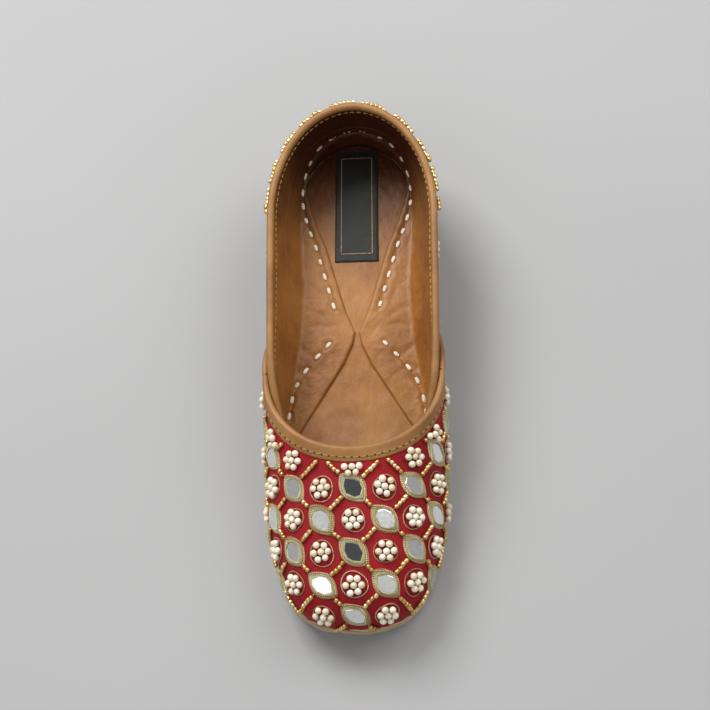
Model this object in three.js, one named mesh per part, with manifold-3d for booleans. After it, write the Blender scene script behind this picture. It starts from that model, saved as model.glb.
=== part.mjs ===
// Mojari: a flat slip-on shoe with a wide rounded toe, a low beaded vamp and a flared quarter.
// Millimetres. +Z up, toe toward -Y, heel toward +Y, origin on the floor under the middle of the shoe.

import * as THREE from "three";
import { mergeVertices } from "three/addons/utils/BufferGeometryUtils.js";
import Module from "manifold-3d";

// ---- Driving dimensions ----
const LENGTH = 245;
const GAP = 0.3; // air left between pieces that touch

const OUTSOLE_THICK = 3;
const MIDSOLE_THICK = 2.5;
const INSOLE_THICK = 2;
const HEEL_LIFT = 5; // height of the heel seat over the tread
const HEEL_BREAST_Y = 62; // front face of the heel lift
const HEEL_INSET = 1;
const TOE_SPRING = 6;
const TREAD_FRONT_Y = -80; // the tread is flat from here ...
const TREAD_BACK_Y = -35; // ... to here
const SEAT_FRONT_Y = 45; // the heel seat is level behind this

const WALL = 1.6; // upper leather, lining and cloth together
const VAMP_INSET = 0.8; // feather line of the vamp inside the sole edge
const LAP_INSET = 2.2; // feather line of the quarter where the vamp laps over it
const INSOLE_INSET = 4.4;

const TOE_ROUND_Y = -85; // the outline turns in toward the toe from here
const HEEL_ROUND_Y = 84; // and toward the heel from here

// Sole half-width, before the ends are rounded off
const OUTLINE = [
  { y: -122.5, half: 29.5 },
  { y: -102, half: 33 },
  { y: -77, half: 38.4 },
  { y: -50, half: 39.8 },
  { y: -30, half: 38.4 },
  { y: -5, half: 34 },
  { y: 20, half: 30.4 },
  { y: 45, half: 29.2 },
  { y: 75, half: 29.8 },
  { y: 122.5, half: 29.4 },
];

// Topline of the quarter, from its squared front end to the back of the heel
const RIM_END_Y = -38;
const RIM_BEND_Y = 62; // straight in front of this, an ellipse behind
const RIM_BACK_Y = 117.6;
const RIM = [
  { y: -38, half: 32, top: 31 },
  { y: -14, half: 36.6, top: 39.6 },
  { y: 20, half: 37.8, top: 43.2 },
  { y: 62, half: 38.2, top: 47.3 },
  { y: 95, half: 38.2, top: 49.9 },
  { y: 117.6, half: 38.2, top: 51.5 },
];
const HEEL_SHARE = 0.43; // part of the quarter's half-length that lies behind the bend
const SIDE_BULGE = 1.6;
const HEEL_BULGE = 3.4;
const BULGE_SPAN = 30; // walls lower than this bulge less

// Topline of the vamp: half an ellipse round the throat, then down the side to the waist
const THROAT_HALF = 39.6;
const THROAT_BACK_Y = -14;
const THROAT_DEPTH = 37.8;
const THROAT_TOP = 44.6;
const THROAT_DROP = 7.4; // how much lower the topline is at the sides of the throat
const VAMP_END_Y = 38;
const VAMP_END_RISE = 4; // the vamp's last height above the sole
const THROAT_SHARE = 0.7;
const LAP_OFFSET = 1.3; // vamp face outside the quarter face at the feather line ...
const LAP_FLARE = 1.9; // ... and this much more at the quarter's topline

// Vamp curve from the feather line to the topline
const TOE_RISE = 0.31; // handle lengths as a share of the span
const THROAT_REACH = 0.42;
const TOE_LEAN = 0.15; // outward lean where the vamp leaves the sole
const INSTEP_SLOPE = 14; // degrees, at the middle of the throat
const SIDE_SLOPE = 70; // degrees, at the sides of the throat
const SPREAD = 0.3; // share of the outward direction in the way the curve leaves the throat
const LAP_EASE = [0.1, 0.2]; // the curve straightens into the lap over this share of the length

// Leather bindings folded over the toplines
const BINDING_THICK = 0.6;
const VAMP_BINDING_LEG = 5.5;
const QUARTER_BINDING_LEG = 3.2;
const QUARTER_BINDING_INNER = 3;
const BINDING_REACH = 0.8; // a binding covers at most this share of the wall
const OPEN_WRAP = 180; // degrees a binding turns over an edge that stands free ...
const LAP_WRAP = 60; // ... and where another wall backs the edge
const WRAP_EASE = 0.15;
const NO_LAP = 1 + WRAP_EASE; // for a binding that stands free all the way

// Mesh fineness
const SOLE_STATIONS = 56;
const VAMP_COLUMNS = 56;
const VAMP_ROWS = 11;
const QUARTER_COLUMNS = 64;
const QUARTER_ROWS = 7;
const FEATHER_SAMPLES = 160;
const STEP = 1e-3; // parameter step for slopes
const AXIS_HALF = 60; // outward means away from this stretch of the middle line

const vec = (x, y, z) => new THREE.Vector3(x, y, z);
const { clamp, smoothstep, lerp, degToRad } = THREE.MathUtils;

// ---- Tables read as smooth curves ----
function read(table, key, y) {
  const last = table.length - 1;
  if (y <= table[0].y) return table[0][key];
  if (y >= table[last].y) return table[last][key];
  const i = table.findIndex((row) => row.y > y) - 1;
  const slope = (n) => {
    const a = table[Math.max(n - 1, 0)];
    const b = table[Math.min(n + 1, last)];
    return (b[key] - a[key]) / (b.y - a.y);
  };
  const span = table[i + 1].y - table[i].y;
  const t = (y - table[i].y) / span;
  const h0 = (1 + 2 * t) * (1 - t) ** 2;
  const h1 = t * (1 - t) ** 2 * span;
  const h2 = t * t * (3 - 2 * t);
  const h3 = t * t * (t - 1) * span;
  return h0 * table[i][key] + h1 * slope(i) + h2 * table[i + 1][key] + h3 * slope(i + 1);
}

// ---- Sole form ----
function halfWidth(y) {
  const toe = clamp((TOE_ROUND_Y - y) / (TOE_ROUND_Y + LENGTH / 2), 0, 1);
  const heel = clamp((y - HEEL_ROUND_Y) / (LENGTH / 2 - HEEL_ROUND_Y), 0, 1);
  const toeRound = Math.max(1 - toe ** 3.5, 0) ** 0.4;
  const heelRound = Math.max(1 - heel ** 2.2, 0) ** 0.5;
  return read(OUTLINE, "half", y) * toeRound * heelRound;
}

// Underside of the outsole: level tread, toe spring in front, raised waist and heel seat behind
function underside(y) {
  if (y < TREAD_FRONT_Y) {
    return TOE_SPRING * ((TREAD_FRONT_Y - y) / (TREAD_FRONT_Y + LENGTH / 2)) ** 2;
  }
  return HEEL_LIFT * smoothstep(y, TREAD_BACK_Y, SEAT_FRONT_Y);
}

const midsoleBottom = (y) => underside(y) + OUTSOLE_THICK + GAP;
const midsoleTop = (y) => midsoleBottom(y) + MIDSOLE_THICK;
const featherHeight = (y) => midsoleTop(y) + GAP;

// Right half of the sole outline: k runs from 0 at the toe tip to 1 at the heel tip
const stationOf = (y) => Math.acos(clamp(-2 * y / LENGTH, -1, 1)) / Math.PI;

function edgePoint(k) {
  const y = (-LENGTH / 2) * Math.cos(Math.PI * k);
  return new THREE.Vector2(Math.sign(Math.sin(Math.PI * k)) * halfWidth(y), y);
}

function outline(k, inset) {
  const tangent = edgePoint(k + STEP).sub(edgePoint(k - STEP)).normalize();
  const p = edgePoint(k);
  return new THREE.Vector2(p.x - tangent.y * inset, p.y + tangent.x * inset);
}

// ---- Closed sheet between two grids of points, grid[column][row] ----
function sheet(outer, inner) {
  const columns = outer.length;
  const rows = outer[0].length;
  const points = [...outer.flat(), ...inner.flat()];
  const far = columns * rows;
  const index = [];
  const quad = (a, b, c, d) => index.push(a, b, c, a, c, d);
  const id = (i, j) => i * rows + j;
  for (let i = 0; i + 1 < columns; i++) {
    for (let j = 0; j + 1 < rows; j++) {
      quad(id(i, j), id(i + 1, j), id(i + 1, j + 1), id(i, j + 1));
      quad(far + id(i, j), far + id(i, j + 1), far + id(i + 1, j + 1), far + id(i + 1, j));
    }
    const top = rows - 1;
    quad(id(i, 0), far + id(i, 0), far + id(i + 1, 0), id(i + 1, 0));
    quad(id(i, top), id(i + 1, top), far + id(i + 1, top), far + id(i, top));
  }
  for (let j = 0; j + 1 < rows; j++) {
    const end = columns - 1;
    quad(id(0, j), id(0, j + 1), far + id(0, j + 1), far + id(0, j));
    quad(id(end, j), far + id(end, j), far + id(end, j + 1), id(end, j + 1));
  }
  if (signedVolume(points, index) < 0) index.reverse();
  const geometry = new THREE.BufferGeometry();
  geometry.setAttribute("position", new THREE.Float32BufferAttribute(points.flatMap((p) => p.toArray()), 3));
  geometry.setIndex(index);
  return geometry;
}

function signedVolume(points, index) {
  let volume = 0;
  for (let i = 0; i < index.length; i += 3) {
    const [a, b, c] = [points[index[i]], points[index[i + 1]], points[index[i + 2]]];
    volume += a.dot(vec(0, 0, 0).crossVectors(b, c)) / 6;
  }
  return volume;
}

function grid(columns, rows, from, point) {
  return Array.from({ length: columns }, (_, i) => {
    const a = from + ((1 - from) * i) / (columns - 1);
    return Array.from({ length: rows }, (_, j) => point(a, j / (rows - 1)));
  });
}

// ---- Sole pieces: plates of the outline between two heights ----
function plate(inset, bottom, top, firstY, lastY) {
  const first = stationOf(firstY);
  const last = stationOf(lastY);
  const edges = (height) =>
    Array.from({ length: SOLE_STATIONS }, (_, i) => {
      const p = outline(lerp(first, last, i / (SOLE_STATIONS - 1)), inset);
      return [vec(-p.x, p.y, height(p.y)), vec(p.x, p.y, height(p.y))];
    });
  return sheet(edges(top), edges(bottom));
}

// ---- Quarter: the wall round the heel, as a function of place along it and height ----
// a is 0 at the back of the heel, 1 at the right front end and -1 at the left front end
function quarterFoot(a) {
  const y = quarterStation(a, LENGTH / 2);
  const inset = lerp(LAP_INSET, VAMP_INSET, smoothstep(y, VAMP_END_Y, RIM_BEND_Y));
  const p = outline(stationOf(y), inset);
  return vec(p.x, p.y, featherHeight(p.y));
}

function quarterStation(a, backY) {
  if (a > HEEL_SHARE) return lerp(RIM_BEND_Y, RIM_END_Y, (a - HEEL_SHARE) / (1 - HEEL_SHARE));
  return RIM_BEND_Y + (backY - RIM_BEND_Y) * Math.cos((Math.PI / 2) * (a / HEEL_SHARE));
}

function quarterRim(a) {
  const y = quarterStation(a, RIM_BACK_Y);
  const turn = a < HEEL_SHARE ? Math.sin((Math.PI / 2) * (a / HEEL_SHARE)) : 1;
  return vec(read(RIM, "half", y) * turn, y, read(RIM, "top", y));
}

function quarterFace(a, v) {
  const side = Math.abs(a);
  const foot = quarterFoot(side);
  const rim = quarterRim(side);
  const turn = clamp(side / HEEL_SHARE, 0, 1) * (Math.PI / 2);
  const bulge = lerp(HEEL_BULGE, SIDE_BULGE, Math.sin(turn)) * 3 * v * (1 - v);
  const p = foot.lerp(rim, v).add(vec(Math.sin(turn) * bulge, Math.cos(turn) * bulge, 0));
  p.x *= Math.sign(a);
  return p;
}

// Half-width of the quarter's outer face at a place along the shoe and a height
function quarterHalf(y, z) {
  const foot = outline(stationOf(y), LAP_INSET).x;
  const base = featherHeight(y);
  const h = clamp((z - base) / (read(RIM, "top", y) - base), 0, 1);
  const bow = SIDE_BULGE * 3 * h * (1 - h);
  return lerp(foot, read(RIM, "half", y), h) + bow + LAP_OFFSET + LAP_FLARE * h;
}

// ---- Vamp: s is 0 at the middle of the toe, 1 at the right rear end and -1 at the left ----
const feather = new THREE.CatmullRomCurve3(
  Array.from({ length: FEATHER_SAMPLES }, (_, i) => {
    const p = outline((stationOf(VAMP_END_Y) * i) / (FEATHER_SAMPLES - 1), VAMP_INSET);
    return vec(p.x, p.y, featherHeight(p.y));
  }),
);
feather.arcLengthDivisions = 4 * FEATHER_SAMPLES;

function vampTopline(s) {
  if (s <= THROAT_SHARE) {
    const turn = (Math.PI / 2) * (s / THROAT_SHARE);
    const drop = THROAT_DROP * Math.sin(turn) ** 2;
    return vec(
      THROAT_HALF * Math.sin(turn),
      THROAT_BACK_Y - THROAT_DEPTH * Math.cos(turn),
      THROAT_TOP - drop,
    );
  }
  const t = (s - THROAT_SHARE) / (1 - THROAT_SHARE);
  const y = lerp(THROAT_BACK_Y, VAMP_END_Y, t);
  const low = featherHeight(VAMP_END_Y) + VAMP_END_RISE;
  const z = lerp(THROAT_TOP - THROAT_DROP, low, 0.5 - 0.5 * Math.cos(Math.PI * t));
  return vec(quarterHalf(y, z), y, z);
}

function vampFace(s, v) {
  const side = Math.abs(s);
  const foot = feather.getPointAt(clamp(side, 0, 1));
  const top = vampTopline(side);
  const span = foot.distanceTo(top);
  const turn = (Math.PI / 2) * clamp(side / THROAT_SHARE, 0, 1);
  const out = vec(Math.sin(turn), -Math.cos(turn), 0);
  const slope = degToRad(lerp(INSTEP_SLOPE, SIDE_SLOPE, Math.sin(turn) ** 2));
  const along = vec(foot.x - top.x, foot.y - top.y, 0).normalize();
  const level = along.lerp(out, SPREAD).normalize();
  const down = level.multiplyScalar(Math.cos(slope)).add(vec(0, 0, -Math.sin(slope)));
  const up = out.clone().multiplyScalar(TOE_LEAN).add(vec(0, 0, 1)).normalize();
  const bow = out.clone().multiplyScalar(SIDE_BULGE * Math.min(span / BULGE_SPAN, 1));
  const lapped = smoothstep(side, THROAT_SHARE - LAP_EASE[0], THROAT_SHARE + LAP_EASE[1]);
  const low = foot.clone().addScaledVector(up, TOE_RISE * span);
  const high = top.clone().addScaledVector(down, THROAT_REACH * span);
  low.lerp(foot.clone().lerp(top, 1 / 3).add(bow), lapped);
  high.lerp(foot.clone().lerp(top, 2 / 3).add(bow), lapped);
  const p = new THREE.CubicBezierCurve3(foot, low, high, top).getPoint(v);
  p.x *= Math.sign(s) || 1;
  return p;
}

// ---- Faces moved along their own outward direction ----
function outward(face, a, v) {
  const low = clamp(v - STEP, 0, 1);
  const high = clamp(v + STEP, 0, 1);
  const alongStep = face(clamp(a + STEP, -1, 1), v).sub(face(clamp(a - STEP, -1, 1), v));
  const upStep = face(a, high).sub(face(a, low));
  const normal = alongStep.cross(upStep).normalize();
  const centre = vec(0, clamp(face(a, v).y, -AXIS_HALF, AXIS_HALF), 0);
  if (normal.dot(face(a, 0.5).sub(centre).setZ(0)) < 0) normal.negate();
  return normal;
}

function shifted(face, a, v, distance) {
  return face(a, v).addScaledVector(outward(face, a, v), distance);
}

function shell(face, columns, rows) {
  const outer = grid(columns, rows, -1, face);
  const inner = grid(columns, rows, -1, (a, v) => {
    const p = shifted(face, a, v, -WALL);
    if (v === 0) p.z = face(a, 0).z;
    return p;
  });
  return sheet(outer, inner);
}

// ---- Binding: a strip folded over the top edge of a face ----
// It closes over the whole edge in front of lapFrom, and over its outer side behind it
function fold(face, columns, leg, innerLeg, lapFrom) {
  const path = (side) => (a) => {
    const lapped = smoothstep(Math.abs(a), lapFrom - WRAP_EASE, lapFrom);
    const wrap = lerp(OPEN_WRAP, LAP_WRAP, lapped);
    const height = face(a, 1).distanceTo(face(a, 0));
    const share = (depth) => 1 - Math.min(depth, height * BINDING_REACH) / height;
    const out = outward(face, a, 1);
    const middle = shifted(face, a, 1, -WALL / 2);
    const up = face(a, 1).sub(face(a, 1 - STEP)).normalize();
    const radius = WALL / 2 + side;
    const points = [leg, leg / 2].map((depth) => shifted(face, a, share(depth), side));
    for (const part of [0, 0.25, 0.5, 0.75, 1]) {
      const t = degToRad(wrap * part);
      const p = middle.clone().addScaledVector(out, radius * Math.cos(t));
      points.push(p.addScaledVector(up, radius * Math.sin(t)));
    }
    if (innerLeg > 0) points.push(shifted(face, a, share(innerLeg), -WALL - side));
    return points;
  };
  const places = Array.from({ length: columns }, (_, i) => -1 + (2 * i) / (columns - 1));
  return sheet(places.map(path(GAP + BINDING_THICK)), places.map(path(GAP)));
}

// ---- Solid join ----
const wasm = await Module();
wasm.setup();

function solid(geometry) {
  const merged = mergeVertices(geometry, 1e-5);
  return new wasm.Manifold(
    new wasm.Mesh({
      numProp: 3,
      vertProperties: new Float32Array(merged.attributes.position.array),
      triVerts: new Uint32Array(merged.index.array),
    }),
  );
}

function joined(a, b) {
  const mesh = solid(a).add(solid(b)).getMesh();
  const geometry = new THREE.BufferGeometry();
  geometry.setAttribute("position", new THREE.Float32BufferAttribute(mesh.vertProperties, 3));
  geometry.setIndex(Array.from(mesh.triVerts));
  return geometry;
}

// ---- Assembly ----
const group = new THREE.Group();

function addPiece(name, geometry, color, roughness) {
  geometry.computeVertexNormals();
  const material = new THREE.MeshStandardMaterial({ color, roughness, metalness: 0 });
  const mesh = new THREE.Mesh(geometry, material);
  mesh.name = name;
  group.add(mesh);
}

const TIP = LENGTH / 2 - 0.02; // plates stop just short of the very tips
const liftBottom = () => 0;
const liftTop = () => HEEL_LIFT - GAP;
const outsoleTop = (y) => underside(y) + OUTSOLE_THICK;
const insoleTop = (y) => featherHeight(y) + INSOLE_THICK;

addPiece("heel_lift", plate(HEEL_INSET, liftBottom, liftTop, HEEL_BREAST_Y, TIP), "#8a6a4c", 0.8);
addPiece("outsole", plate(0, underside, outsoleTop, -TIP, TIP), "#c9ab85", 0.85);
addPiece("midsole", plate(0, midsoleBottom, midsoleTop, -TIP, TIP), "#8b5f3c", 0.7);
addPiece("insole", plate(INSOLE_INSET, featherHeight, insoleTop, -TIP, TIP), "#b9825f", 0.6);

const vampShell = shell(vampFace, VAMP_COLUMNS, VAMP_ROWS);
const quarterShell = shell(quarterFace, QUARTER_COLUMNS, QUARTER_ROWS);
addPiece("upper", joined(vampShell, quarterShell), "#aa142d", 0.7);

const vampBinding = fold(vampFace, VAMP_COLUMNS, VAMP_BINDING_LEG, 0, THROAT_SHARE);
const quarterBinding = fold(
  quarterFace,
  QUARTER_COLUMNS,
  QUARTER_BINDING_LEG,
  QUARTER_BINDING_INNER,
  NO_LAP,
);
addPiece("vamp_binding", vampBinding, "#b98255", 0.55);
addPiece("quarter_binding", quarterBinding, "#b98255", 0.55);

export default group;
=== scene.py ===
"""Mojari shoe: cloth, leather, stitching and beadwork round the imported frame. Metres, +Z up, toe toward -Y."""

import math

import bmesh
import bpy
import numpy as np
from mathutils import Matrix, Vector, noise


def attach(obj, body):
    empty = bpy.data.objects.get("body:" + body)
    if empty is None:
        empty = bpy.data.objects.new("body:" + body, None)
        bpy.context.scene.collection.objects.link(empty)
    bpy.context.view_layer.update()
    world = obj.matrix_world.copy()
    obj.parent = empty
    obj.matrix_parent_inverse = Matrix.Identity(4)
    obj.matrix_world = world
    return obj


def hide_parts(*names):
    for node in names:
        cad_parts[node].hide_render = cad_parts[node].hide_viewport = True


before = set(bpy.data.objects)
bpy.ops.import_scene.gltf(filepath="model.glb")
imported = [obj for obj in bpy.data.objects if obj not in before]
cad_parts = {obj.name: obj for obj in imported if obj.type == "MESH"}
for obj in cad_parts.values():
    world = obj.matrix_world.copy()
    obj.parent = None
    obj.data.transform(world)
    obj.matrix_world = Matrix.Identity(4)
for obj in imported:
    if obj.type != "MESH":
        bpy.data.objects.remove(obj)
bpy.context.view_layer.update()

MM = 0.001
rng = np.random.default_rng(7)

# ---------------------------------------------------------------- the shoe's own form, in millimetres
LENGTH = 245.0
GAP = 0.3
OUTSOLE_THICK = 3.0
MIDSOLE_THICK = 2.5
INSOLE_THICK = 2.0
HEEL_LIFT = 5.0
HEEL_BREAST_Y = 62.0
TOE_SPRING = 6.0
TREAD_FRONT_Y, TREAD_BACK_Y = -80.0, -35.0
SEAT_FRONT_Y = 45.0
TOE_ROUND_Y, HEEL_ROUND_Y = -85.0, 84.0
VAMP_INSET, LAP_INSET = 0.8, 2.2
WALL = 1.6

OUTLINE = {
    "y": [-122.5, -102, -77, -50, -30, -5, 20, 45, 75, 122.5],
    "half": [29.5, 33, 38.4, 39.8, 38.4, 34, 30.4, 29.2, 29.8, 29.4],
}
RIM_END_Y, RIM_BEND_Y, RIM_BACK_Y = -38.0, 62.0, 117.6
RIM = {
    "y": [-38, -14, 20, 62, 95, 117.6],
    "half": [32, 36.6, 37.8, 38.2, 38.2, 38.2],
    "top": [31, 39.6, 43.2, 47.3, 49.9, 51.5],
}
HEEL_SHARE = 0.43
SIDE_BULGE, HEEL_BULGE, BULGE_SPAN = 1.6, 3.4, 30.0

THROAT_HALF, THROAT_BACK_Y, THROAT_DEPTH = 39.6, -14.0, 37.8
THROAT_TOP, THROAT_DROP = 44.6, 7.4
VAMP_END_Y, VAMP_END_RISE = 38.0, 4.0
THROAT_SHARE = 0.7
LAP_OFFSET, LAP_FLARE = 1.3, 1.9
TOE_RISE, THROAT_REACH, TOE_LEAN = 0.31, 0.42, 0.15
INSTEP_SLOPE, SIDE_SLOPE, SPREAD = 14.0, 70.0, 0.3
LAP_EASE = (0.1, 0.2)


def smooth(x, low, high):
    t = np.clip((np.asarray(x, float) - low) / (high - low), 0, 1)
    return t * t * (3 - 2 * t)


def mix(a, b, t):
    return a + (b - a) * t


def unit(p):
    return p / np.linalg.norm(p, axis=-1, keepdims=True)


def points(x, y, z):
    return np.stack(np.broadcast_arrays(x, y, z), -1).astype(float)


def arc_length(path):
    """Distance along a path at each of its places."""
    return np.concatenate([[0], np.cumsum(np.linalg.norm(np.diff(path, axis=0), axis=1))])


def along_path(where, key, path):
    """Places on a path where the rising numbers key reach where."""
    return np.stack([np.interp(where, key, path[:, m]) for m in range(3)], -1)


def read(table, key, y):
    """A table of stations read as a smooth curve."""
    ys, values = np.array(table["y"], float), np.array(table[key], float)
    last = len(ys) - 1
    before, after = np.maximum(np.arange(last + 1) - 1, 0), np.minimum(np.arange(last + 1) + 1, last)
    slopes = (values[after] - values[before]) / (ys[after] - ys[before])
    y = np.clip(y, ys[0], ys[-1])
    i = np.clip(np.searchsorted(ys, y, side="right") - 1, 0, last - 1)
    span = ys[i + 1] - ys[i]
    t = (y - ys[i]) / span
    near = (1 + 2 * t) * (1 - t) ** 2 * values[i] + t * (1 - t) ** 2 * span * slopes[i]
    far = t * t * (3 - 2 * t) * values[i + 1] + t * t * (t - 1) * span * slopes[i + 1]
    return near + far


def half_width(y):
    toe = np.clip((TOE_ROUND_Y - y) / (TOE_ROUND_Y + LENGTH / 2), 0, 1)
    heel = np.clip((y - HEEL_ROUND_Y) / (LENGTH / 2 - HEEL_ROUND_Y), 0, 1)
    toe_round = np.maximum(1 - toe**3.5, 0) ** 0.4
    heel_round = np.maximum(1 - heel**2.2, 0) ** 0.5
    return read(OUTLINE, "half", y) * toe_round * heel_round


def underside(y):
    y = np.asarray(y, float)
    spring = TOE_SPRING * (np.maximum(TREAD_FRONT_Y - y, 0) / (TREAD_FRONT_Y + LENGTH / 2)) ** 2
    return spring + HEEL_LIFT * smooth(y, TREAD_BACK_Y, SEAT_FRONT_Y)


def midsole_bottom(y):
    return underside(y) + OUTSOLE_THICK + GAP


def midsole_top(y):
    return midsole_bottom(y) + MIDSOLE_THICK


def feather_height(y):
    return midsole_top(y) + GAP


def footbed_height(y):
    return feather_height(y) + INSOLE_THICK


def station_of(y):
    return np.arccos(np.clip(-2 * np.asarray(y, float) / LENGTH, -1, 1)) / math.pi


def outline(k, inset):
    """Right half of the sole's edge moved inward: k is 0 at the toe tip and 1 at the heel tip."""

    def edge(u):
        y = -LENGTH / 2 * np.cos(math.pi * u)
        return np.stack([np.sign(np.sin(math.pi * u)) * half_width(y), y], -1)

    step = 1e-3
    k = np.asarray(k, float)
    tangent = edge(k + step) - edge(k - step)
    tangent /= np.linalg.norm(tangent, axis=-1, keepdims=True)
    p = edge(k)
    return np.stack([p[..., 0] - tangent[..., 1] * inset, p[..., 1] + tangent[..., 0] * inset], -1)


def quarter_station(a, back_y):
    side = mix(RIM_BEND_Y, RIM_END_Y, (a - HEEL_SHARE) / (1 - HEEL_SHARE))
    round_heel = RIM_BEND_Y + (back_y - RIM_BEND_Y) * np.cos(math.pi / 2 * np.minimum(a / HEEL_SHARE, 1))
    return np.where(a > HEEL_SHARE, side, round_heel)


def quarter_foot(a, extra=0.0):
    y = quarter_station(a, LENGTH / 2)
    inset = mix(LAP_INSET, VAMP_INSET, smooth(y, VAMP_END_Y, RIM_BEND_Y)) + extra
    p = outline(station_of(y), inset)
    return points(p[..., 0], p[..., 1], feather_height(p[..., 1]))


def quarter_rim(a):
    y = quarter_station(a, RIM_BACK_Y)
    turn = np.sin(math.pi / 2 * np.clip(a / HEEL_SHARE, 0, 1))
    return points(read(RIM, "half", y) * turn, y, read(RIM, "top", y))


def mirrored(p, a):
    sign = np.where(np.asarray(a) < 0, -1.0, 1.0)
    return p * np.stack([sign, np.ones_like(sign), np.ones_like(sign)], -1)


def quarter_face(a, v):
    """Outer face of the quarter: a runs from the back, 0, to its right front end; v from sole to rim."""
    a, v = np.broadcast_arrays(np.asarray(a, float), np.asarray(v, float))
    side = np.abs(a)
    turn = np.clip(side / HEEL_SHARE, 0, 1) * math.pi / 2
    bulge = mix(HEEL_BULGE, SIDE_BULGE, np.sin(turn)) * 3 * v * (1 - v)
    p = mix(quarter_foot(side), quarter_rim(side), v[..., None])
    p = p + points(np.sin(turn) * bulge, np.cos(turn) * bulge, 0)
    return mirrored(p, a)


def quarter_half(y, z):
    foot = outline(station_of(y), LAP_INSET)[..., 0]
    base = feather_height(y)
    h = np.clip((z - base) / (read(RIM, "top", y) - base), 0, 1)
    return mix(foot, read(RIM, "half", y), h) + SIDE_BULGE * 3 * h * (1 - h) + LAP_OFFSET + LAP_FLARE * h


def feather_line():
    k = np.linspace(0, float(station_of(VAMP_END_Y)), 400)
    p = outline(k, VAMP_INSET)
    p = points(p[:, 0], p[:, 1], feather_height(p[:, 1]))
    length = arc_length(p)
    return length / length[-1], p


FEATHER_AT, FEATHER = feather_line()


def vamp_topline(s):
    turn = math.pi / 2 * np.clip(s / THROAT_SHARE, 0, 1)
    throat = points(
        THROAT_HALF * np.sin(turn),
        THROAT_BACK_Y - THROAT_DEPTH * np.cos(turn),
        THROAT_TOP - THROAT_DROP * np.sin(turn) ** 2,
    )
    t = np.clip((s - THROAT_SHARE) / (1 - THROAT_SHARE), 0, 1)
    y = mix(THROAT_BACK_Y, VAMP_END_Y, t)
    low = feather_height(VAMP_END_Y) + VAMP_END_RISE
    z = mix(THROAT_TOP - THROAT_DROP, low, 0.5 - 0.5 * np.cos(math.pi * t))
    side = points(quarter_half(y, z), y, z)
    return np.where((s <= THROAT_SHARE)[..., None], throat, side)


def vamp_face(s, v):
    """Outer face of the vamp: s is 0 at the toe, +-1 at its rear ends; v runs from sole to topline."""
    s, v = np.broadcast_arrays(np.asarray(s, float), np.asarray(v, float))
    side = np.abs(s)
    foot = along_path(side, FEATHER_AT, FEATHER)
    top = vamp_topline(side)
    span = np.linalg.norm(foot - top, axis=-1, keepdims=True)
    turn = math.pi / 2 * np.clip(side / THROAT_SHARE, 0, 1)
    out = points(np.sin(turn), -np.cos(turn), 0)
    slope = np.radians(mix(INSTEP_SLOPE, SIDE_SLOPE, np.sin(turn) ** 2))[..., None]
    along = unit((foot - top) * [1, 1, 0])
    level = unit(mix(along, out, SPREAD))
    down = level * np.cos(slope) + np.sin(slope) * np.array([0, 0, -1.0])
    up = unit(out * TOE_LEAN + np.array([0, 0, 1.0]))
    bow = out * SIDE_BULGE * np.minimum(span / BULGE_SPAN, 1)
    lapped = smooth(side, THROAT_SHARE - LAP_EASE[0], THROAT_SHARE + LAP_EASE[1])[..., None]
    low = mix(foot + up * TOE_RISE * span, mix(foot, top, 1 / 3) + bow, lapped)
    high = mix(top + down * THROAT_REACH * span, mix(foot, top, 2 / 3) + bow, lapped)
    v = v[..., None]
    p = foot * (1 - v) ** 3 + low * 3 * v * (1 - v) ** 2 + high * 3 * v * v * (1 - v) + top * v**3
    return mirrored(p, s)


def outward(face, a, v):
    """Unit direction pointing away from the foot at a place on a face."""
    step = 1e-3
    a, v = np.broadcast_arrays(np.asarray(a, float), np.asarray(v, float))
    along = face(np.clip(a + step, -1, 1), v) - face(np.clip(a - step, -1, 1), v)
    rise = face(a, np.clip(v + step, 0, 1)) - face(a, np.clip(v - step, 0, 1))
    normal = unit(np.cross(along, rise))
    middle = face(a, np.full(a.shape, 0.5))
    centre = points(0, np.clip(face(a, v)[..., 1], -60, 60), 0)
    flip = np.sum(normal * (middle - centre) * [1, 1, 0], -1) < 0
    return np.where(flip[..., None], -normal, normal)


def shifted(face, a, v, distance):
    return face(a, v) + outward(face, a, v) * np.asarray(distance, float)[..., None]


# ---------------------------------------------------------------- meshes
def grid_quads(rows, cols, start=0, wrap=False):
    """Quads of a grid stored row by row; wrap closes each row on itself."""
    r, c = np.meshgrid(np.arange(rows - 1), np.arange(cols if wrap else cols - 1), indexing="ij")
    n = (c + 1) % cols
    quads = np.stack([r * cols + c, r * cols + n, (r + 1) * cols + n, (r + 1) * cols + c], -1)
    return quads.reshape(-1, 4) + start


def looped(rows, cols):
    """Quads of a grid closed on itself both ways."""
    first, last = np.arange(cols), (rows - 1) * cols + np.arange(cols)
    seam = np.stack([last, np.roll(last, -1), np.roll(first, -1), first], -1)
    return np.concatenate([grid_quads(rows, cols, wrap=True), seam])


def end_fans(rows, cols):
    """Triangles from a grid's first and last rows to two more vertices stored after it."""
    first, last, hub = np.arange(cols), (rows - 1) * cols + np.arange(cols), rows * cols
    near = np.stack([np.roll(first, -1), first, np.full(cols, hub)], -1)
    far = np.stack([last, np.roll(last, -1), np.full(cols, hub + 1)], -1)
    return np.concatenate([near, far])


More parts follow.
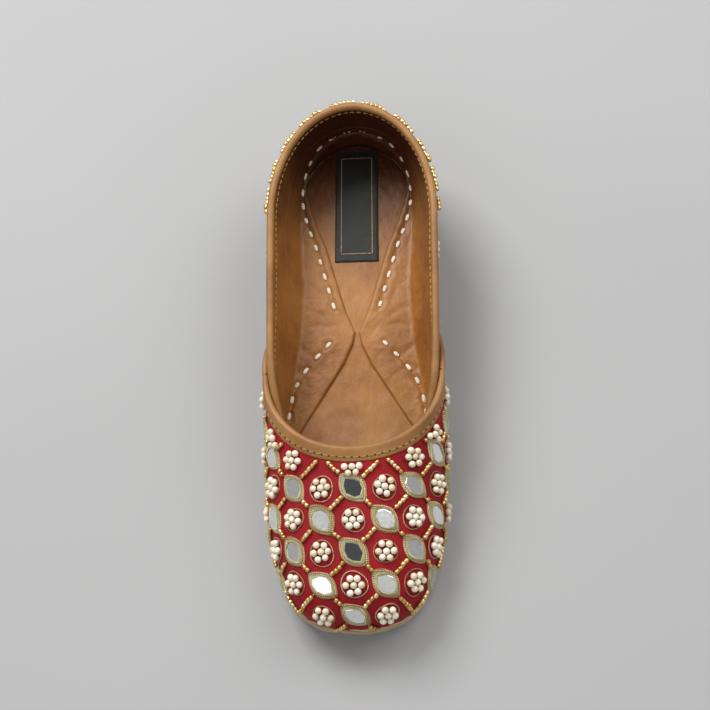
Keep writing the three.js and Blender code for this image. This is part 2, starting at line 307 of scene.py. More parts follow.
def make(name, verts, quads=None, tris=None, uv=None, tone=None, smooth_faces=True):
    """A mesh object from arrays in millimetres. uv is millimetres of cloth; tone is a random share per vertex."""
    mesh = bpy.data.meshes.new(name)
    verts = np.asarray(verts, np.float32).reshape(-1, 3) * MM
    faces = [np.asarray(f, np.int32) for f in (quads, tris) if f is not None and len(f)]
    loops = np.concatenate([f.ravel() for f in faces])
    sizes = np.concatenate([np.full(len(f), f.shape[1], np.int32) for f in faces])
    mesh.vertices.add(len(verts))
    mesh.vertices.foreach_set("co", verts.ravel())
    mesh.loops.add(len(loops))
    mesh.loops.foreach_set("vertex_index", loops)
    mesh.polygons.add(len(sizes))
    mesh.polygons.foreach_set("loop_start", np.concatenate([[0], np.cumsum(sizes)[:-1]]).astype(np.int32))
    mesh.polygons.foreach_set("use_smooth", np.full(len(sizes), smooth_faces))
    if uv is not None:
        layer = mesh.uv_layers.new(name="UVMap")
        layer.data.foreach_set("uv", np.asarray(uv, np.float32).reshape(-1, 2)[loops].ravel())
    if tone is not None:
        attribute = mesh.attributes.new("tone", "FLOAT", "POINT")
        attribute.data.foreach_set("value", np.asarray(tone, np.float32))
    mesh.update(calc_edges=True)
    mesh.validate()
    piece = bpy.data.objects.new(name, mesh)
    bpy.context.scene.collection.objects.link(piece)
    return piece


def finish_piece(piece, material, slot_name, *nodes):
    """Turns a closed piece's faces outward, colours it and hands it to the frame."""
    work = bmesh.new()
    work.from_mesh(piece.data)
    bmesh.ops.recalc_face_normals(work, faces=work.faces)
    work.to_mesh(piece.data)
    work.free()
    piece.data.materials.append(material)
    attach(piece, "root")
    if nodes:
        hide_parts(*nodes)


def closed_sheet(name, outer, inner):
    """A closed sheet between two grids of the same shape, (columns, rows, 3)."""
    cols, rows = outer.shape[:2]
    count = cols * rows
    index = np.arange(count).reshape(cols, rows)
    border = np.concatenate([index[:, 0], index[-1, 1:], index[-2::-1, -1], index[0, -2:0:-1]])
    after = np.roll(border, -1)
    side = np.stack([border, after, after + count, border + count], -1)
    quads = np.concatenate([grid_quads(cols, rows), grid_quads(cols, rows, count)[:, ::-1], side])
    step_a = np.linalg.norm(np.diff(outer, axis=0, prepend=outer[:1]), axis=-1)
    step_v = np.linalg.norm(np.diff(outer, axis=1, prepend=outer[:, :1]), axis=-1)
    along = np.cumsum(step_a.mean(axis=1))[:, None] + np.zeros((1, rows))
    uv = np.stack([along, np.cumsum(step_v, axis=1)], -1).reshape(-1, 2)
    verts = np.concatenate([outer.reshape(-1, 3), inner.reshape(-1, 3)])
    return make(name, verts, quads, uv=np.concatenate([uv, uv]))


def capped_sweep(name, rings):
    """A solid from rings, (stations, points, 3), each ring a closed loop; the ends are capped with a fan."""
    verts = np.concatenate([rings.reshape(-1, 3), rings[0].mean(0)[None], rings[-1].mean(0)[None]])
    around = np.linalg.norm(np.diff(rings, axis=1, prepend=rings[:, :1]), axis=-1).cumsum(axis=1)
    along = np.linalg.norm(np.diff(rings, axis=0, prepend=rings[:1]), axis=-1).mean(axis=1).cumsum()
    uv = np.stack([np.broadcast_to(along[:, None], around.shape), around], -1).reshape(-1, 2)
    size = rings.shape[:2]
    uv = np.concatenate([uv, uv[:1], uv[-1:]])
    return make(name, verts, grid_quads(*size, wrap=True), end_fans(*size), uv=uv)


def ripple(p, scale, seed, octaves=3):
    """Smooth seeded unevenness at places p, roughly -1 to 1, with features about scale millimetres wide."""
    shift = Vector((seed, 0, 0))
    flat = np.asarray(p, float).reshape(-1, 3) / scale
    out = [noise.fractal(Vector(q) + shift, 0.5, 2.0, octaves) for q in flat]
    return np.array(out).reshape(np.shape(p)[:-1])


# ---------------------------------------------------------------- materials
def srgb(*rgb):
    """A colour given as 0 to 255, as the linear colour that the shader takes."""
    c = np.array(rgb) / 255
    return (*np.where(c <= 0.04045, c / 12.92, ((c + 0.055) / 1.055) ** 2.4), 1.0)


class Surface:
    """A node material under construction."""

    def __init__(self, name, **shader):
        self.material = bpy.data.materials.new(name)
        self.material.use_nodes = True
        self.tree = self.material.node_tree
        self.shader = self.tree.nodes["Principled BSDF"]
        for key, value in shader.items():
            self.put(self.shader, key.replace("_", " "), value)

    def put(self, node, key, value):
        socket = node.inputs[key]
        if isinstance(value, bpy.types.NodeSocket):
            self.tree.links.new(value, socket)
        else:
            socket.default_value = value

    def add(self, kind, inputs, output=0, **settings):
        node = self.tree.nodes.new("ShaderNode" + kind)
        for key, value in settings.items():
            setattr(node, key, value)
        for key, value in inputs.items():
            self.put(node, key, value)
        return node.outputs[output]

    def place(self, kind="Object"):
        return self.add("TexCoord", {}, kind)

    def noise(self, vector, scale, detail=3.0, roughness=0.55):
        inputs = {"Vector": vector, "Scale": scale, "Detail": detail, "Roughness": roughness}
        return self.add("TexNoise", inputs, "Fac")

    def ramp(self, share, *stops):
        """A colour ramp; each stop is a place and a colour given as 0 to 255."""
        out = self.add("ValToRGB", {"Fac": share}, "Color")
        elements = out.node.color_ramp.elements
        for element, (at, colour) in zip(elements, (stops[0], stops[-1])):
            element.position, element.color = at, srgb(*colour)
        for at, colour in stops[1:-1]:
            elements.new(at).color = srgb(*colour)
        return out

    def sum(self, a, b, operation="ADD"):
        return self.add("Math", {0: a, 1: b}, operation=operation)

    def blend(self, share, a, b, kind="MIX"):
        return self.add("Mix", {0: share, 6: a, 7: b}, 2, data_type="RGBA", blend_type=kind)

    def spread(self, value, low, high, **settings):
        """value, from 0 to 1, as a number from low to high."""
        return self.add("MapRange", {"Value": value, "To Min": low, "To Max": high}, **settings)

    def bump(self, height, distance, strength=1.0, under=None):
        inputs = {"Height": height, "Distance": distance, "Strength": strength}
        if under is not None:
            inputs["Normal"] = under
        return self.add("Bump", inputs, "Normal")

    def set(self, **shader):
        for key, value in shader.items():
            self.put(self.shader, key.replace("_", " "), value)
        return self.material


def leather(name, dark, middle, light, roughness=0.5, crease=0.00022, seat=False):
    """Dyed leather: patchy colour, pores and fine creases. seat darkens it towards the heel, partly as wear of the heel
    seat and partly as painted shade of the deep heel inside.
    """
    m = Surface(name, Specular_IOR_Level=0.42, Coat_Weight=0.06, Coat_Roughness=0.42)
    at = m.place()
    patches = m.noise(at, 42.0, 5.0, 0.62)
    colour = m.ramp(patches, (0.3, dark), (0.5, middle), (0.72, light))
    pores = m.add("TexVoronoi", {"Vector": at, "Scale": 1150.0}, "Distance", feature="SMOOTH_F1")
    fine = m.noise(at, 2100.0, 3.0)
    pitted = m.ramp(pores, (0.0, (150, 120, 100)), (0.35, (255, 252, 246)))
    colour = m.blend(0.12, colour, pitted, "MULTIPLY")
    # partly wear, partly painted shade: the colour darkens towards the heel by object Y, standing in for the worn heel
    # seat and for the shade deep inside the heel
    if seat:
        heelward = m.add("SeparateXYZ", {"Vector": at}, "Y")
        span = {"Value": heelward, "From Min": 0.04, "From Max": 0.112}
        depth = m.add("MapRange", span, interpolation_type="SMOOTHSTEP")
        colour = m.blend(m.sum(depth, 0.95, "MULTIPLY"), colour, srgb(108, 64, 38), "MULTIPLY")
    edge = m.add("NewGeometry", {}, "Pointiness")
    worn = m.ramp(edge, (0.5, (0, 0, 0)), (0.62, (255, 255, 255)))
    colour = m.blend(m.sum(worn, 0.35, "MULTIPLY"), colour, srgb(*light))
    stretched = m.add("Mapping", {"Vector": at, "Scale": (1.0, 0.35, 1.0)})
    folds = m.noise(stretched, 240.0, 4.0, 0.6)
    normal = m.bump(folds, crease)
    normal = m.bump(m.sum(pores, m.sum(fine, 0.6, "MULTIPLY")), 0.00007, under=normal)
    rough = m.spread(fine, roughness - 0.08, roughness + 0.12)
    return m.set(Base_Color=colour, Roughness=rough, Normal=normal)


TAN, BUFF = ((124, 74, 26), (150, 97, 40), (168, 115, 54)), ((124, 82, 38), (144, 99, 50), (164, 120, 68))
RAW = (150, 126, 96), (182, 158, 124), (204, 184, 152)
PALE = (168, 146, 114), (198, 180, 148), (216, 202, 174)
LINING = leather("lining_leather", *TAN, seat=True)
BINDING = leather("binding_leather", *BUFF, crease=0.0001)
SOLE = leather("sole_leather", *RAW, roughness=0.66, crease=0.0003)
MIDSOLE = leather("midsole_leather", *PALE, roughness=0.7, crease=0.0003)


def red_cloth():
    """Plain woven silk-like cloth, with a fine over-and-under weave along its own threads."""
    m = Surface("red_cloth", Specular_IOR_Level=0.3, Sheen_Weight=0.08, Sheen_Roughness=0.45)
    m.set(Sheen_Tint=srgb(230, 90, 100))
    at = m.place()
    woven = m.add("Mapping", {"Vector": m.place("UV"), "Scale": (15.0, 15.0, 15.0)})
    thread = m.add("SeparateXYZ", {"Vector": woven}, "X")
    across = thread.node.outputs["Y"]
    warp, weft = m.sum(thread, 0.0, "SINE"), m.sum(across, 0.0, "SINE")
    weave = m.sum(warp, weft, "MULTIPLY")
    slub = m.noise(at, 420.0, 4.0)
    patches = m.noise(at, 36.0, 4.0)
    colour = m.ramp(patches, (0.3, (132, 4, 18)), (0.55, (152, 6, 22)), (0.75, (166, 12, 28)))
    colour = m.blend(0.35, colour, m.ramp(slub, (0.3, (200, 190, 190)), (0.7, (255, 255, 255))), "MULTIPLY")
    normal = m.bump(weave, 0.00005, 0.6, m.bump(slub, 0.00015, 0.7))
    rough = m.spread(slub, 0.55, 0.78)
    return m.set(Base_Color=colour, Roughness=rough, Normal=normal)


CLOTH = red_cloth()

# ---------------------------------------------------------------- upper: cloth outside, lining inside
CLOTH_THICK = 0.8
# columns, rows, and how many small gathers the cloth's lasted edge makes along half the sole
VAMP_GRID, QUARTER_GRID = (281, 61, 31), (321, 41, 27)


def upper_sheet(name, face, outer, inner, material, slot_name, *nodes, wave=0.0):
    """One layer of the vamp or quarter, between two distances out from its face."""
    columns, rows, gathers = VAMP_GRID if face is vamp_face else QUARTER_GRID
    a, v = np.meshgrid(np.linspace(-1, 1, columns), np.linspace(0, 1, rows), indexing="ij")
    low, high = shifted(face, a, v, inner), shifted(face, a, v, outer)
    if wave:
        bumps = ripple(high, 9.0, 3.0) * wave * smooth(v, 1.0, 0.85)
        gather = np.sin(2 * math.pi * gathers * a) * 0.16 * np.exp(-v / 0.045)
        normal = outward(face, a, v)
        high = high + normal * (bumps + gather)[..., None]
    finish_piece(closed_sheet(name, high, low), material, slot_name, *nodes)


UNDER_CLOTH = -CLOTH_THICK - 0.02
upper_sheet("vamp_cloth", vamp_face, 0.0, -CLOTH_THICK, CLOTH, "red_cloth", "upper", wave=0.22)
upper_sheet("vamp_lining", vamp_face, UNDER_CLOTH, -WALL, LINING, "lining_leather")
upper_sheet("quarter_cloth", quarter_face, 0.0, -CLOTH_THICK, CLOTH, "red_cloth", wave=0.18)
upper_sheet("quarter_lining", quarter_face, UNDER_CLOTH, -WALL, LINING, "lining_leather")


# ---------------------------------------------------------------- sole
def plate(name, profile, material, slot_name, *nodes, wobble):
    """A layer of the sole. Each row of the profile, from the middle of the bottom round the edge to the middle of the
    top, has a share of the way out to the edge, an inset there, and the height as a function of y."""
    k = np.linspace(-1, 1, 361)[:-1]
    rings = []
    for share, inset, height in profile:
        p = outline(k, inset)
        rings.append(points(p[:, 0] * share, p[:, 1], height(p[:, 1])))
    rings = np.array(rings)
    edge = ripple(rings, 14.0, 9.0) * wobble
    rings[..., :2] *= 1 + edge[..., None] / 60
    piece = make(name, rings, grid_quads(*rings.shape[:2], wrap=True))
    work = bmesh.new()
    work.from_mesh(piece.data)
    bmesh.ops.remove_doubles(work, verts=work.verts, dist=0.00003)
    bmesh.ops.holes_fill(work, edges=[e for e in work.edges if e.is_boundary], sides=0)
    work.to_mesh(piece.data)
    work.free()
    finish_piece(piece, material, slot_name, *nodes)


def rounded_plate(bottom, top, inset, radius):
    """Profile rows of a plate whose upper and lower edges are rounded."""
    shares, turns = (0.0, 0.3, 0.6, 0.85), np.linspace(0, math.pi / 2, 5)
    rows = [(share, inset + radius, bottom) for share in shares]
    for face, sign, order in ((bottom, 1, turns), (top, -1, turns[::-1])):
        for turn in order:
            out, up = inset + radius * (1 - math.sin(turn)), sign * radius * (1 - math.cos(turn))
            rows.append((1.0, out, lambda y, face=face, up=up: face(y) + up))
    return rows + [(share, inset + radius, top) for share in shares[::-1]]


outsole = rounded_plate(underside, lambda y: underside(y) + OUTSOLE_THICK + 0.05, 0.0, 0.7)
midsole = rounded_plate(lambda y: midsole_bottom(y) - 0.15, midsole_top, 0.5, 0.8)
plate("outsole_leather", outsole, SOLE, "sole_leather", "outsole", wobble=0.35)
plate("midsole_rand", midsole, MIDSOLE, "midsole_leather", "midsole", wobble=0.5)

HEEL_MIDDLE_Y = 92.0
# inset, height (1.0 is the top), and share of the way out from the middle
HEEL_ROWS = [
    (1.5, 0.0, 0.5), (1.35, 0.0, 1), (1.05, 0.12, 1), (1.0, 0.4, 1), (1.0, 1.0, 1), (1.15, 1.0, 1), (1.5, 1.0, 0.5)
]  # fmt: skip


def heel_stack():
    """The low heel lift: the seat's outline behind a straight breast, its edges eased."""
    first = float(station_of(HEEL_BREAST_Y))
    k = np.linspace(first, 2 - first, 121)
    rings = []
    for inset, up, share in HEEL_ROWS:
        p = outline(k, inset)
        y = mix(HEEL_MIDDLE_Y, np.maximum(p[:, 1], HEEL_BREAST_Y), share)
        rings.append(points(p[:, 0] * share, y, underside(y) - 0.05 if up == 1.0 else up))
    rings = np.array(rings)
    hubs = [(0, HEEL_MIDDLE_Y, 0), (0, HEEL_MIDDLE_Y, float(underside(HEEL_MIDDLE_Y)) - 0.05)]
    size = rings.shape[:2]
    verts = np.concatenate([rings.reshape(-1, 3), hubs])
    return make("heel_stack", verts, grid_quads(*size, wrap=True), end_fans(*size))


finish_piece(heel_stack(), SOLE, "sole_leather", "heel_lift")

# ---------------------------------------------------------------- footbed, lining flaps and label
FOOTBED_INSET = 3.4
FOOTBED_CROWN = 0.7
CROWN_HALF = 26.0  # where the crown under the flaps and label ends, either side of the middle
FOOTBED_CREASES = [
    # x, y of the two ends, depth, half width: soft troughs across the ball and the waist
    (-16, -22, 9, -27, 0.22, 1.6),
    (-4, -33, 18, -30, 0.2, 1.5),
    (-9, -12, 7, -16, 0.16, 1.3),
    (-6, 4, 2, -6, 0.14, 1.2),
    (3, -20, 15, -12, 0.14, 1.1),
    (-20, -34, -9, -40, 0.2, 1.5),
    (-3, 30, 3, 44, 0.12, 1.4),
]


def trough(x, y, crease):
    """How deep a soft trough between two points is at (x, y)."""
    x0, y0, x1, y1, depth, width = crease
    length = math.hypot(x1 - x0, y1 - y0)
    along = ((x - x0) * (x1 - x0) + (y - y0) * (y1 - y0)) / length**2
    across = ((x - x0) * (y1 - y0) - (y - y0) * (x1 - x0)) / length
    bend = across + 1.2 * np.sin(along * math.pi)
    return depth * np.exp(-((bend / width) ** 2)) * smooth(along, -0.15, 0.25) * smooth(along, 1.15, 0.75)


def footbed_top(x, y):
    """Height of the covered insole, with its crown and creases."""
    half = np.maximum(half_width(y) - FOOTBED_INSET, 4.0)
    crown = FOOTBED_CROWN * np.maximum(1 - (x / half) ** 2, 0)
    fine = ripple(points(x, y, 0), 6.5, 21.0, 4) * 0.2
    height = footbed_height(y) + crown + fine
    for crease in FOOTBED_CREASES:
        height = height - trough(x, y, crease)
    return height


def footbed():
    k = 0.5 - 0.5 * np.cos(np.linspace(0.09, math.pi - 0.09, 261))
    edge = outline(k, FOOTBED_INSET)
    share = np.linspace(-1, 1, 81)
    x, y = edge[:, :1] * share, edge[:, 1:] + 0 * share
    rounding = 0.5 * smooth(np.abs(share), 0.97, 1.0)
    top = points(x, y, footbed_top(x, y) - rounding)
    return closed_sheet("footbed", top, points(x, y, feather_height(y)))


finish_piece(footbed(), LINING, "lining_leather", "insole")

# the lining's turned-in margins, which nearly meet over the waist: y and |x| of their free edge, and round the heel the
# station and its distance up the wall
FLAP_FRONT = [-40, -30, -20, -10, 3, 12, 18], [31, 26, 20, 14, 6, 2, 0.7]
FLAP_REAR = [18, 19, 28, 42, 62], [0.7, 1.3, 5, 9, 14.5]
FLAP_HEEL = [0, 0.15, 0.25, 0.3, 0.35, 0.43], [6.5, 4, -0.5, -4, -6.5, -10.5]
FLAP_TIP_Y = 18.0
FLAP_THICK = 1.5
FLAP_TOP = 15.0
STITCH_IN = 5.0
FRONT_STITCH = [-24, -11, -3, 4, 8, 14], [32, 30, 26, 21, 17, 11.5]
REAR_STITCH_FROM_Y = 28.0
HAND_STITCH_STEP = 8.0
FLAP_CREASES = [
    (14, 24, 26, 30, 0.3, 1.5),
    (13, 20, 24, 20, 0.3, 1.3),
    (16, 34, 24, 44, 0.22, 1.5),
    (18, 2, 29, 12, 0.3, 1.4),
    (23, -8, 31, 2, 0.25, 1.4),
    (6, 14, 12, 22, 0.2, 1.2),
    (19, 52, 25, 64, 0.2, 1.6),
    (9, 3, 15, 9, 0.16, 1.2),
    (15, -6, 22, -1, 0.16, 1.2),
]


class FlapColumns:
    """Lines across the lining from the footbed's corner: negative w runs over the footbed, positive up the wall."""

    def __init__(self, a):
        side = np.abs(a)
        v = np.linspace(0, 0.8, 81)
        self.wall = shifted(quarter_face, a[:, None], v[None], -WALL - 0.05)
        height = footbed_height(quarter_station(side, LENGTH / 2)) + 0.1
        self.length, corner = [], []
        for wall, level in zip(self.wall, height):
            length = arc_length(wall)
            self.length.append(length - np.interp(np.interp(level, wall[:, 2], v), v, length))
            corner.append(along_path(0, self.length[-1], wall))
        self.corner = np.array(corner)
        turn = np.clip(side / HEEL_SHARE, 0, 1) * math.pi / 2
        self.inward = points(-np.sin(turn) * np.sign(a + 1e-12), -np.cos(turn), 0)

    def at(self, w):
        """Places at w, one row of w per column."""
        over = self.corner[:, None] + self.inward[:, None] * np.maximum(-w, 0)[..., None]
        crown = FOOTBED_CROWN * np.maximum(1 - (over[..., 0] / CROWN_HALF) ** 2, 0) * smooth(w, -1, -9)
        over[..., 2] = footbed_height(over[..., 1]) + crown + 0.1
        up = np.stack([along_path(*column) for column in zip(w, self.length, self.wall)])
        return np.where((w < 0)[..., None], over, up)

    def rounded(self, w, reach=2.6):
        return sum(self.at(w + reach * d) for d in (-1, -0.5, 0, 0.5, 1)) / 5


def free_edge(a, columns):
    """w of the flap's free edge at each column."""
    side = np.abs(a)
    y = quarter_station(side, LENGTH / 2)
    x = np.where(y < FLAP_TIP_Y, np.interp(y, *FLAP_FRONT), np.interp(y, *FLAP_REAR))
    straight = x - np.abs(columns.corner[:, 0])
    joint = straight[np.argmin(np.where(side >= HEEL_SHARE, side, 9.0))]
    round_heel = np.interp(side, *FLAP_HEEL) + (joint - FLAP_HEEL[1][-1]) * (side / HEEL_SHARE) ** 2
    return np.where(side < HEEL_SHARE, round_heel, straight)


def flap_lines():
    """Stations of the flaps' columns, with one exactly at the tip on each side."""
    side = HEEL_SHARE + (RIM_BEND_Y - FLAP_TIP_Y) / (RIM_BEND_Y - RIM_END_Y) * (1 - HEEL_SHARE)
    half = np.concatenate([np.linspace(0, side, 151), np.linspace(side, 1, 101)[1:]])
    return np.concatenate([-half[:0:-1], half])


def hand_stitch_lines(a, columns, free):
    """Runs of (column number, w) that the hand stitches follow: round the back, and up each front edge."""
    y = quarter_station(np.abs(a), LENGTH / 2)
    rear = np.flatnonzero(y > REAR_STITCH_FROM_Y)
    lines = [(rear, free[rear] + STITCH_IN)]
    for sign in (-1, 1):
        front = np.flatnonzero((np.sign(a) == sign) & (y < FRONT_STITCH[0][-1]) & (y > FRONT_STITCH[0][0]))
        lines.append((front, np.interp(y[front], *FRONT_STITCH) - np.abs(columns.corner[front, 0])))
    return lines


def stitch_places(w, base, lines):
    """Where the middle of each hand stitch falls along its line."""
    places = []
    for run, at in lines:
        length = arc_length(np.stack([along_path(at[n], w[c], base[c]) for n, c in enumerate(run)]))
        count = int(length[-1] // HAND_STITCH_STEP)
        first = (length[-1] - count * HAND_STITCH_STEP) / 2
        for n in range(count + 1):
            places.append((run, at, length, first + n * HAND_STITCH_STEP + rng.normal(0, 0.35)))
    return places


def flap_relief(w, base, lines, stitches):
    """The flap's soft hollows and ridges: drawn in along the stitches, puffed beside them, and creased."""
    relief = ripple(base, 8.0, 5.0, 4) * 0.22
    for run, at in lines:
        off = w[run] - at[:, None]
        relief[run] -= 0.42 * np.exp(-((off / 1.25) ** 2))
        relief[run] += 0.22 * np.exp(-(((off + 2.6) / 1.5) ** 2))
    for run, at, length, where in stitches:
        c = int(run[np.argmin(np.abs(length - where))])
        centre = along_path(np.interp(where, length, at), w[c], base[c])
        gap = np.linalg.norm(base - centre, axis=-1)
        relief -= 0.4 * np.exp(-((gap / 1.7) ** 2))
        relief += 0.12 * np.exp(-(((gap - 3.4) / 1.1) ** 2))
    for crease in FLAP_CREASES:
        for sign in (-1, 1):
            relief -= trough(sign * base[..., 0], base[..., 1], crease) * (base[..., 2] < 25)
    return relief


def hand_stitches(w, top, normal, stitches):
    """The thick white stitches on the flaps, and a flat dark disc of painted shade for the needle hole at each end of
    one.
    """
    threads, holes = Batch(), Batch()
    arch = np.linspace(-1, 1, 9)
    radius = 0.86 * np.maximum(1 - np.abs(arch) ** 5, 0.5)
    for run, at, length, where in stitches:
        half = rng.uniform(1.45, 1.9)
        spots = np.linspace(-half, half, 9) + where
        path, out = [], []
        for c, at_w in zip(np.interp(spots, length, run.astype(float)), np.interp(spots, length, at)):
            low = int(min(c, len(w) - 2))
            for grid, found in ((top, path), (normal, out)):
                ends = [along_path(at_w, w[q], grid[q]) for q in (low, low + 1)]
                found.append(mix(*ends, c - low))
        path, out = np.array(path), unit(np.array(out))
        path = path + out * (0.4 * (1 - arch**2) + 0.12)[:, None]
        tube(threads, path, out, radius, sides=9, flat=0.55, tone=rng.uniform())
        # each needle hole is a flat dark disc: painted shade of the hole
        for end in (0, -1):
            holes.add(path[end] - out[end] * 0.25 + (BALL[0] * [0.6, 0.6, 0.25]), BALL[1], BALL[2])
    return threads, holes


def lining_flaps():
    """The flaps, their hand stitches and the dark discs of painted shade at the needle holes."""
    a = flap_lines()
    columns = FlapColumns(a)
    free = free_edge(a, columns)
    u = np.concatenate([[0, 0.004, 0.012, 0.026, 0.045], np.linspace(0.07, 1, 61)])
    w = free[:, None] + (FLAP_TOP - free[:, None]) * u[None]
    base = columns.rounded(w)
    normal = unit(np.cross(np.gradient(base, axis=0), np.gradient(base, axis=1)))
    normal = np.where((normal[..., 2:] < 0), -normal, normal)
    from_edge = w - free[:, None]
    thick = FLAP_THICK * np.sqrt(np.clip(from_edge / 0.9, 0.03, 1)) * mix(1.0, 0.03, smooth(w, 2.0, 13.0))
    lines = hand_stitch_lines(a, columns, free)
    stitches = stitch_places(w, base, lines)
    relief = flap_relief(w, base, lines, stitches)
    relief *= smooth(from_edge, 0, 1.6) * smooth(w, FLAP_TOP, FLAP_TOP - 6)
    top = base + normal * (thick + relief)[..., None]
    piece = closed_sheet("lining_flaps", top, base - normal * 0.06)
    return piece, *hand_stitches(w, top, normal, stitches)


LABEL_WIDE, LABEL_BACK_Y, LABEL_FRONT_Y, LABEL_THICK = 20.8, 116.0, 54.0, 0.4
LABEL_FRAME_SIDE, LABEL_FRAME_END, LABEL_LINE = 3.0, 4.4, 0.5


def label_point(x, y, height):
    return points(x, y, footbed_height(y) + FOOTBED_CROWN * (1 - (x / CROWN_HALF) ** 2) + height)


def label():
    across, along = np.linspace(-1, 1, 25) * LABEL_WIDE / 2, np.linspace(LABEL_FRONT_Y, LABEL_BACK_Y, 61)
    x, y = np.meshgrid(across, along, indexing="ij")
    edge = np.minimum(LABEL_WIDE / 2 - np.abs(x), np.minimum(y - LABEL_FRONT_Y, LABEL_BACK_Y - y))
    lift = LABEL_THICK * np.sqrt(np.clip(edge / 0.6, 0.1, 1)) + ripple(points(x, y, 0), 16.0, 8.0) * 0.15
    return closed_sheet("blank_label", label_point(x, y, lift), label_point(x, y, -0.1))


def label_line():
    """The plain gold rectangle woven round the label's field."""
    half = LABEL_WIDE / 2 - LABEL_FRAME_SIDE
    front, back = LABEL_FRONT_Y + LABEL_FRAME_END, LABEL_BACK_Y - LABEL_FRAME_END
    corners = [(-half, front), (half, front), (half, back), (-half, back)]
    sides = zip(corners, corners[1:] + corners[:1])
    path = np.concatenate([np.linspace(p, q, 24, endpoint=False) for p, q in sides])
    line = Batch()
    p = label_point(path[:, 0], path[:, 1], LABEL_THICK + 0.06)
    tube(line, p, np.broadcast_to([0.0, 0, 1], p.shape), LABEL_LINE / 2, sides=6, closed=True, flat=0.5)
    return line.object("label_gold_line")


# ---------------------------------------------------------------- bindings
def down_face(face, a):
    """For each station a, a function from the distance below the rim to v."""
    v = np.linspace(0, 1, 161)
    grid = face(a[:, None], v[None])
    length = np.linalg.norm(np.diff(grid, axis=1), axis=-1)
    depth = np.concatenate([np.zeros((len(a), 1)), np.cumsum(length[:, ::-1], axis=1)], axis=1)

    def at(w):
        w = np.broadcast_to(np.asarray(w, float), (len(a),))
        return np.array([np.interp(w[n], depth[n], v[::-1]) for n in range(len(a))])

    return at


def on_face(face, a, at, w, offset):
    """Places w below the rim and offset out from the face; a negative w stands above the rim."""
    w = np.broadcast_to(np.asarray(w, float), a.shape)
    offset = np.broadcast_to(np.asarray(offset, float), a.shape)
    v = at(np.maximum(w, 0))
    p = shifted(face, a, v, offset)
    rise = unit(face(a, np.ones_like(a)) - face(a, np.full_like(a, 0.97)))
    return p + rise * np.maximum(-w, 0)[:, None]


def folded_strip(name, face, a, profile, *nodes):
    """A leather strip folded over a rim; a profile row is a distance below the rim and one out from the face."""
    at = down_face(face, a)
    rings = np.stack([on_face(face, a, at, w, out) for w, out in profile], axis=1)
    finish_piece(capped_sweep(name, rings), BINDING, "binding_leather", *nodes)


ROLL_OUTER, ROLL_INNER, ROLL_PROUD, ROLL_RADIUS = 4.0, 3.0, 0.5, 1.75
BAND, BAND_INNER, BAND_PROUD = 6.0, 3.4, 0.55
MIDWALL = -WALL / 2


def roll_profile():
    """The quarter's padded roll, round its rim from outside to inside, and back under itself."""
    rows = [(ROLL_OUTER, 0.0), (ROLL_OUTER - 0.1, 0.32), (ROLL_OUTER - 0.5, ROLL_PROUD), (2.6, 0.72)]
    for turn in np.linspace(-0.15, math.pi + 0.15, 15):
        rows.append((0.9 - ROLL_RADIUS * math.sin(turn), MIDWALL + ROLL_RADIUS * math.cos(turn)))
    rows += [(2.2, -WALL - 0.62), (ROLL_INNER - 0.2, -WALL - 0.42), (ROLL_INNER, -WALL - 0.1)]
    rows += [(ROLL_INNER, -WALL + 0.2), (0.4, -WALL + 0.2), (0.2, MIDWALL), (0.4, -0.2)]
    return rows + [(ROLL_OUTER - 0.4, -0.2)]


def band_profile(a):
    """The vamp's flat binding: a wide leg on the cloth, a soft fold, and a leg inside the open throat."""
    opened = 1 - smooth(np.abs(a), THROAT_SHARE - 0.04, THROAT_SHARE + 0.06)
    rows = [(BAND, 0.0), (BAND - 0.08, 0.3), (BAND - 0.4, BAND_PROUD), (BAND - 1.6, BAND_PROUD + 0.02)]
    rows += [(2.4, 0.62), (1.2, 0.7)]
    for turn in np.linspace(0.12, math.pi - 0.12, 11):
        out = np.maximum(MIDWALL + 1.46 * math.cos(turn), mix(-WALL * 0.9, -9.0, opened))
        rows.append((0.5 - 1.3 * math.sin(turn), out))
    leg = [(1.4, -0.6), (BAND_INNER - 0.3, -0.42), (BAND_INNER, -0.1), (BAND_INNER, 0.2), (0.5, 0.2)]
    for w, out in leg:
        rows.append((w * mix(0.12, 1.0, opened), mix(-WALL * 0.8, -WALL + out, opened)))
    return rows + [(0.3, MIDWALL), (0.5, -0.2), (BAND - 0.4, -0.2)]


folded_strip("quarter_binding_roll", quarter_face, np.linspace(-1, 1, 481), roll_profile(), "quarter_binding")
LAP_A, OPEN_A = np.linspace(-1, -0.7, 121)[:-1], np.linspace(-0.7, 0.7, 281)
VAMP_A = np.concatenate([LAP_A, OPEN_A, np.linspace(0.7, 1, 121)[1:]])
folded_strip("vamp_binding_strip", vamp_face, VAMP_A, band_profile(VAMP_A), "vamp_binding")


# ---------------------------------------------------------------- many small things in one mesh
class Batch:
    """Collects small solids and joins them into one mesh."""

    def __init__(self):
        self.verts, self.quads, self.tris, self.uv, self.tone, self.count = [], [], [], [], [], 0

    def add(self, verts, quads, tris=None, uv=None, tone=0.5):
        verts = np.asarray(verts, float).reshape(-1, 3)
        self.quads.append(np.asarray(quads, int).reshape(-1, 4) + self.count)
        if tris is not None:
            self.tris.append(np.asarray(tris, int).reshape(-1, 3) + self.count)
        self.uv.append(np.zeros((len(verts), 2)) if uv is None else np.asarray(uv, float).reshape(-1, 2))
        self.tone.append(np.full(len(verts), float(tone)))
        self.verts.append(verts)
        self.count += len(verts)

    def object(self, name, smooth_faces=True):
        tris = np.concatenate(self.tris) if self.tris else None
        verts, quads = np.concatenate(self.verts), np.concatenate(self.quads)
        return make(name, verts, quads, tris, np.concatenate(self.uv), np.concatenate(self.tone), smooth_faces)


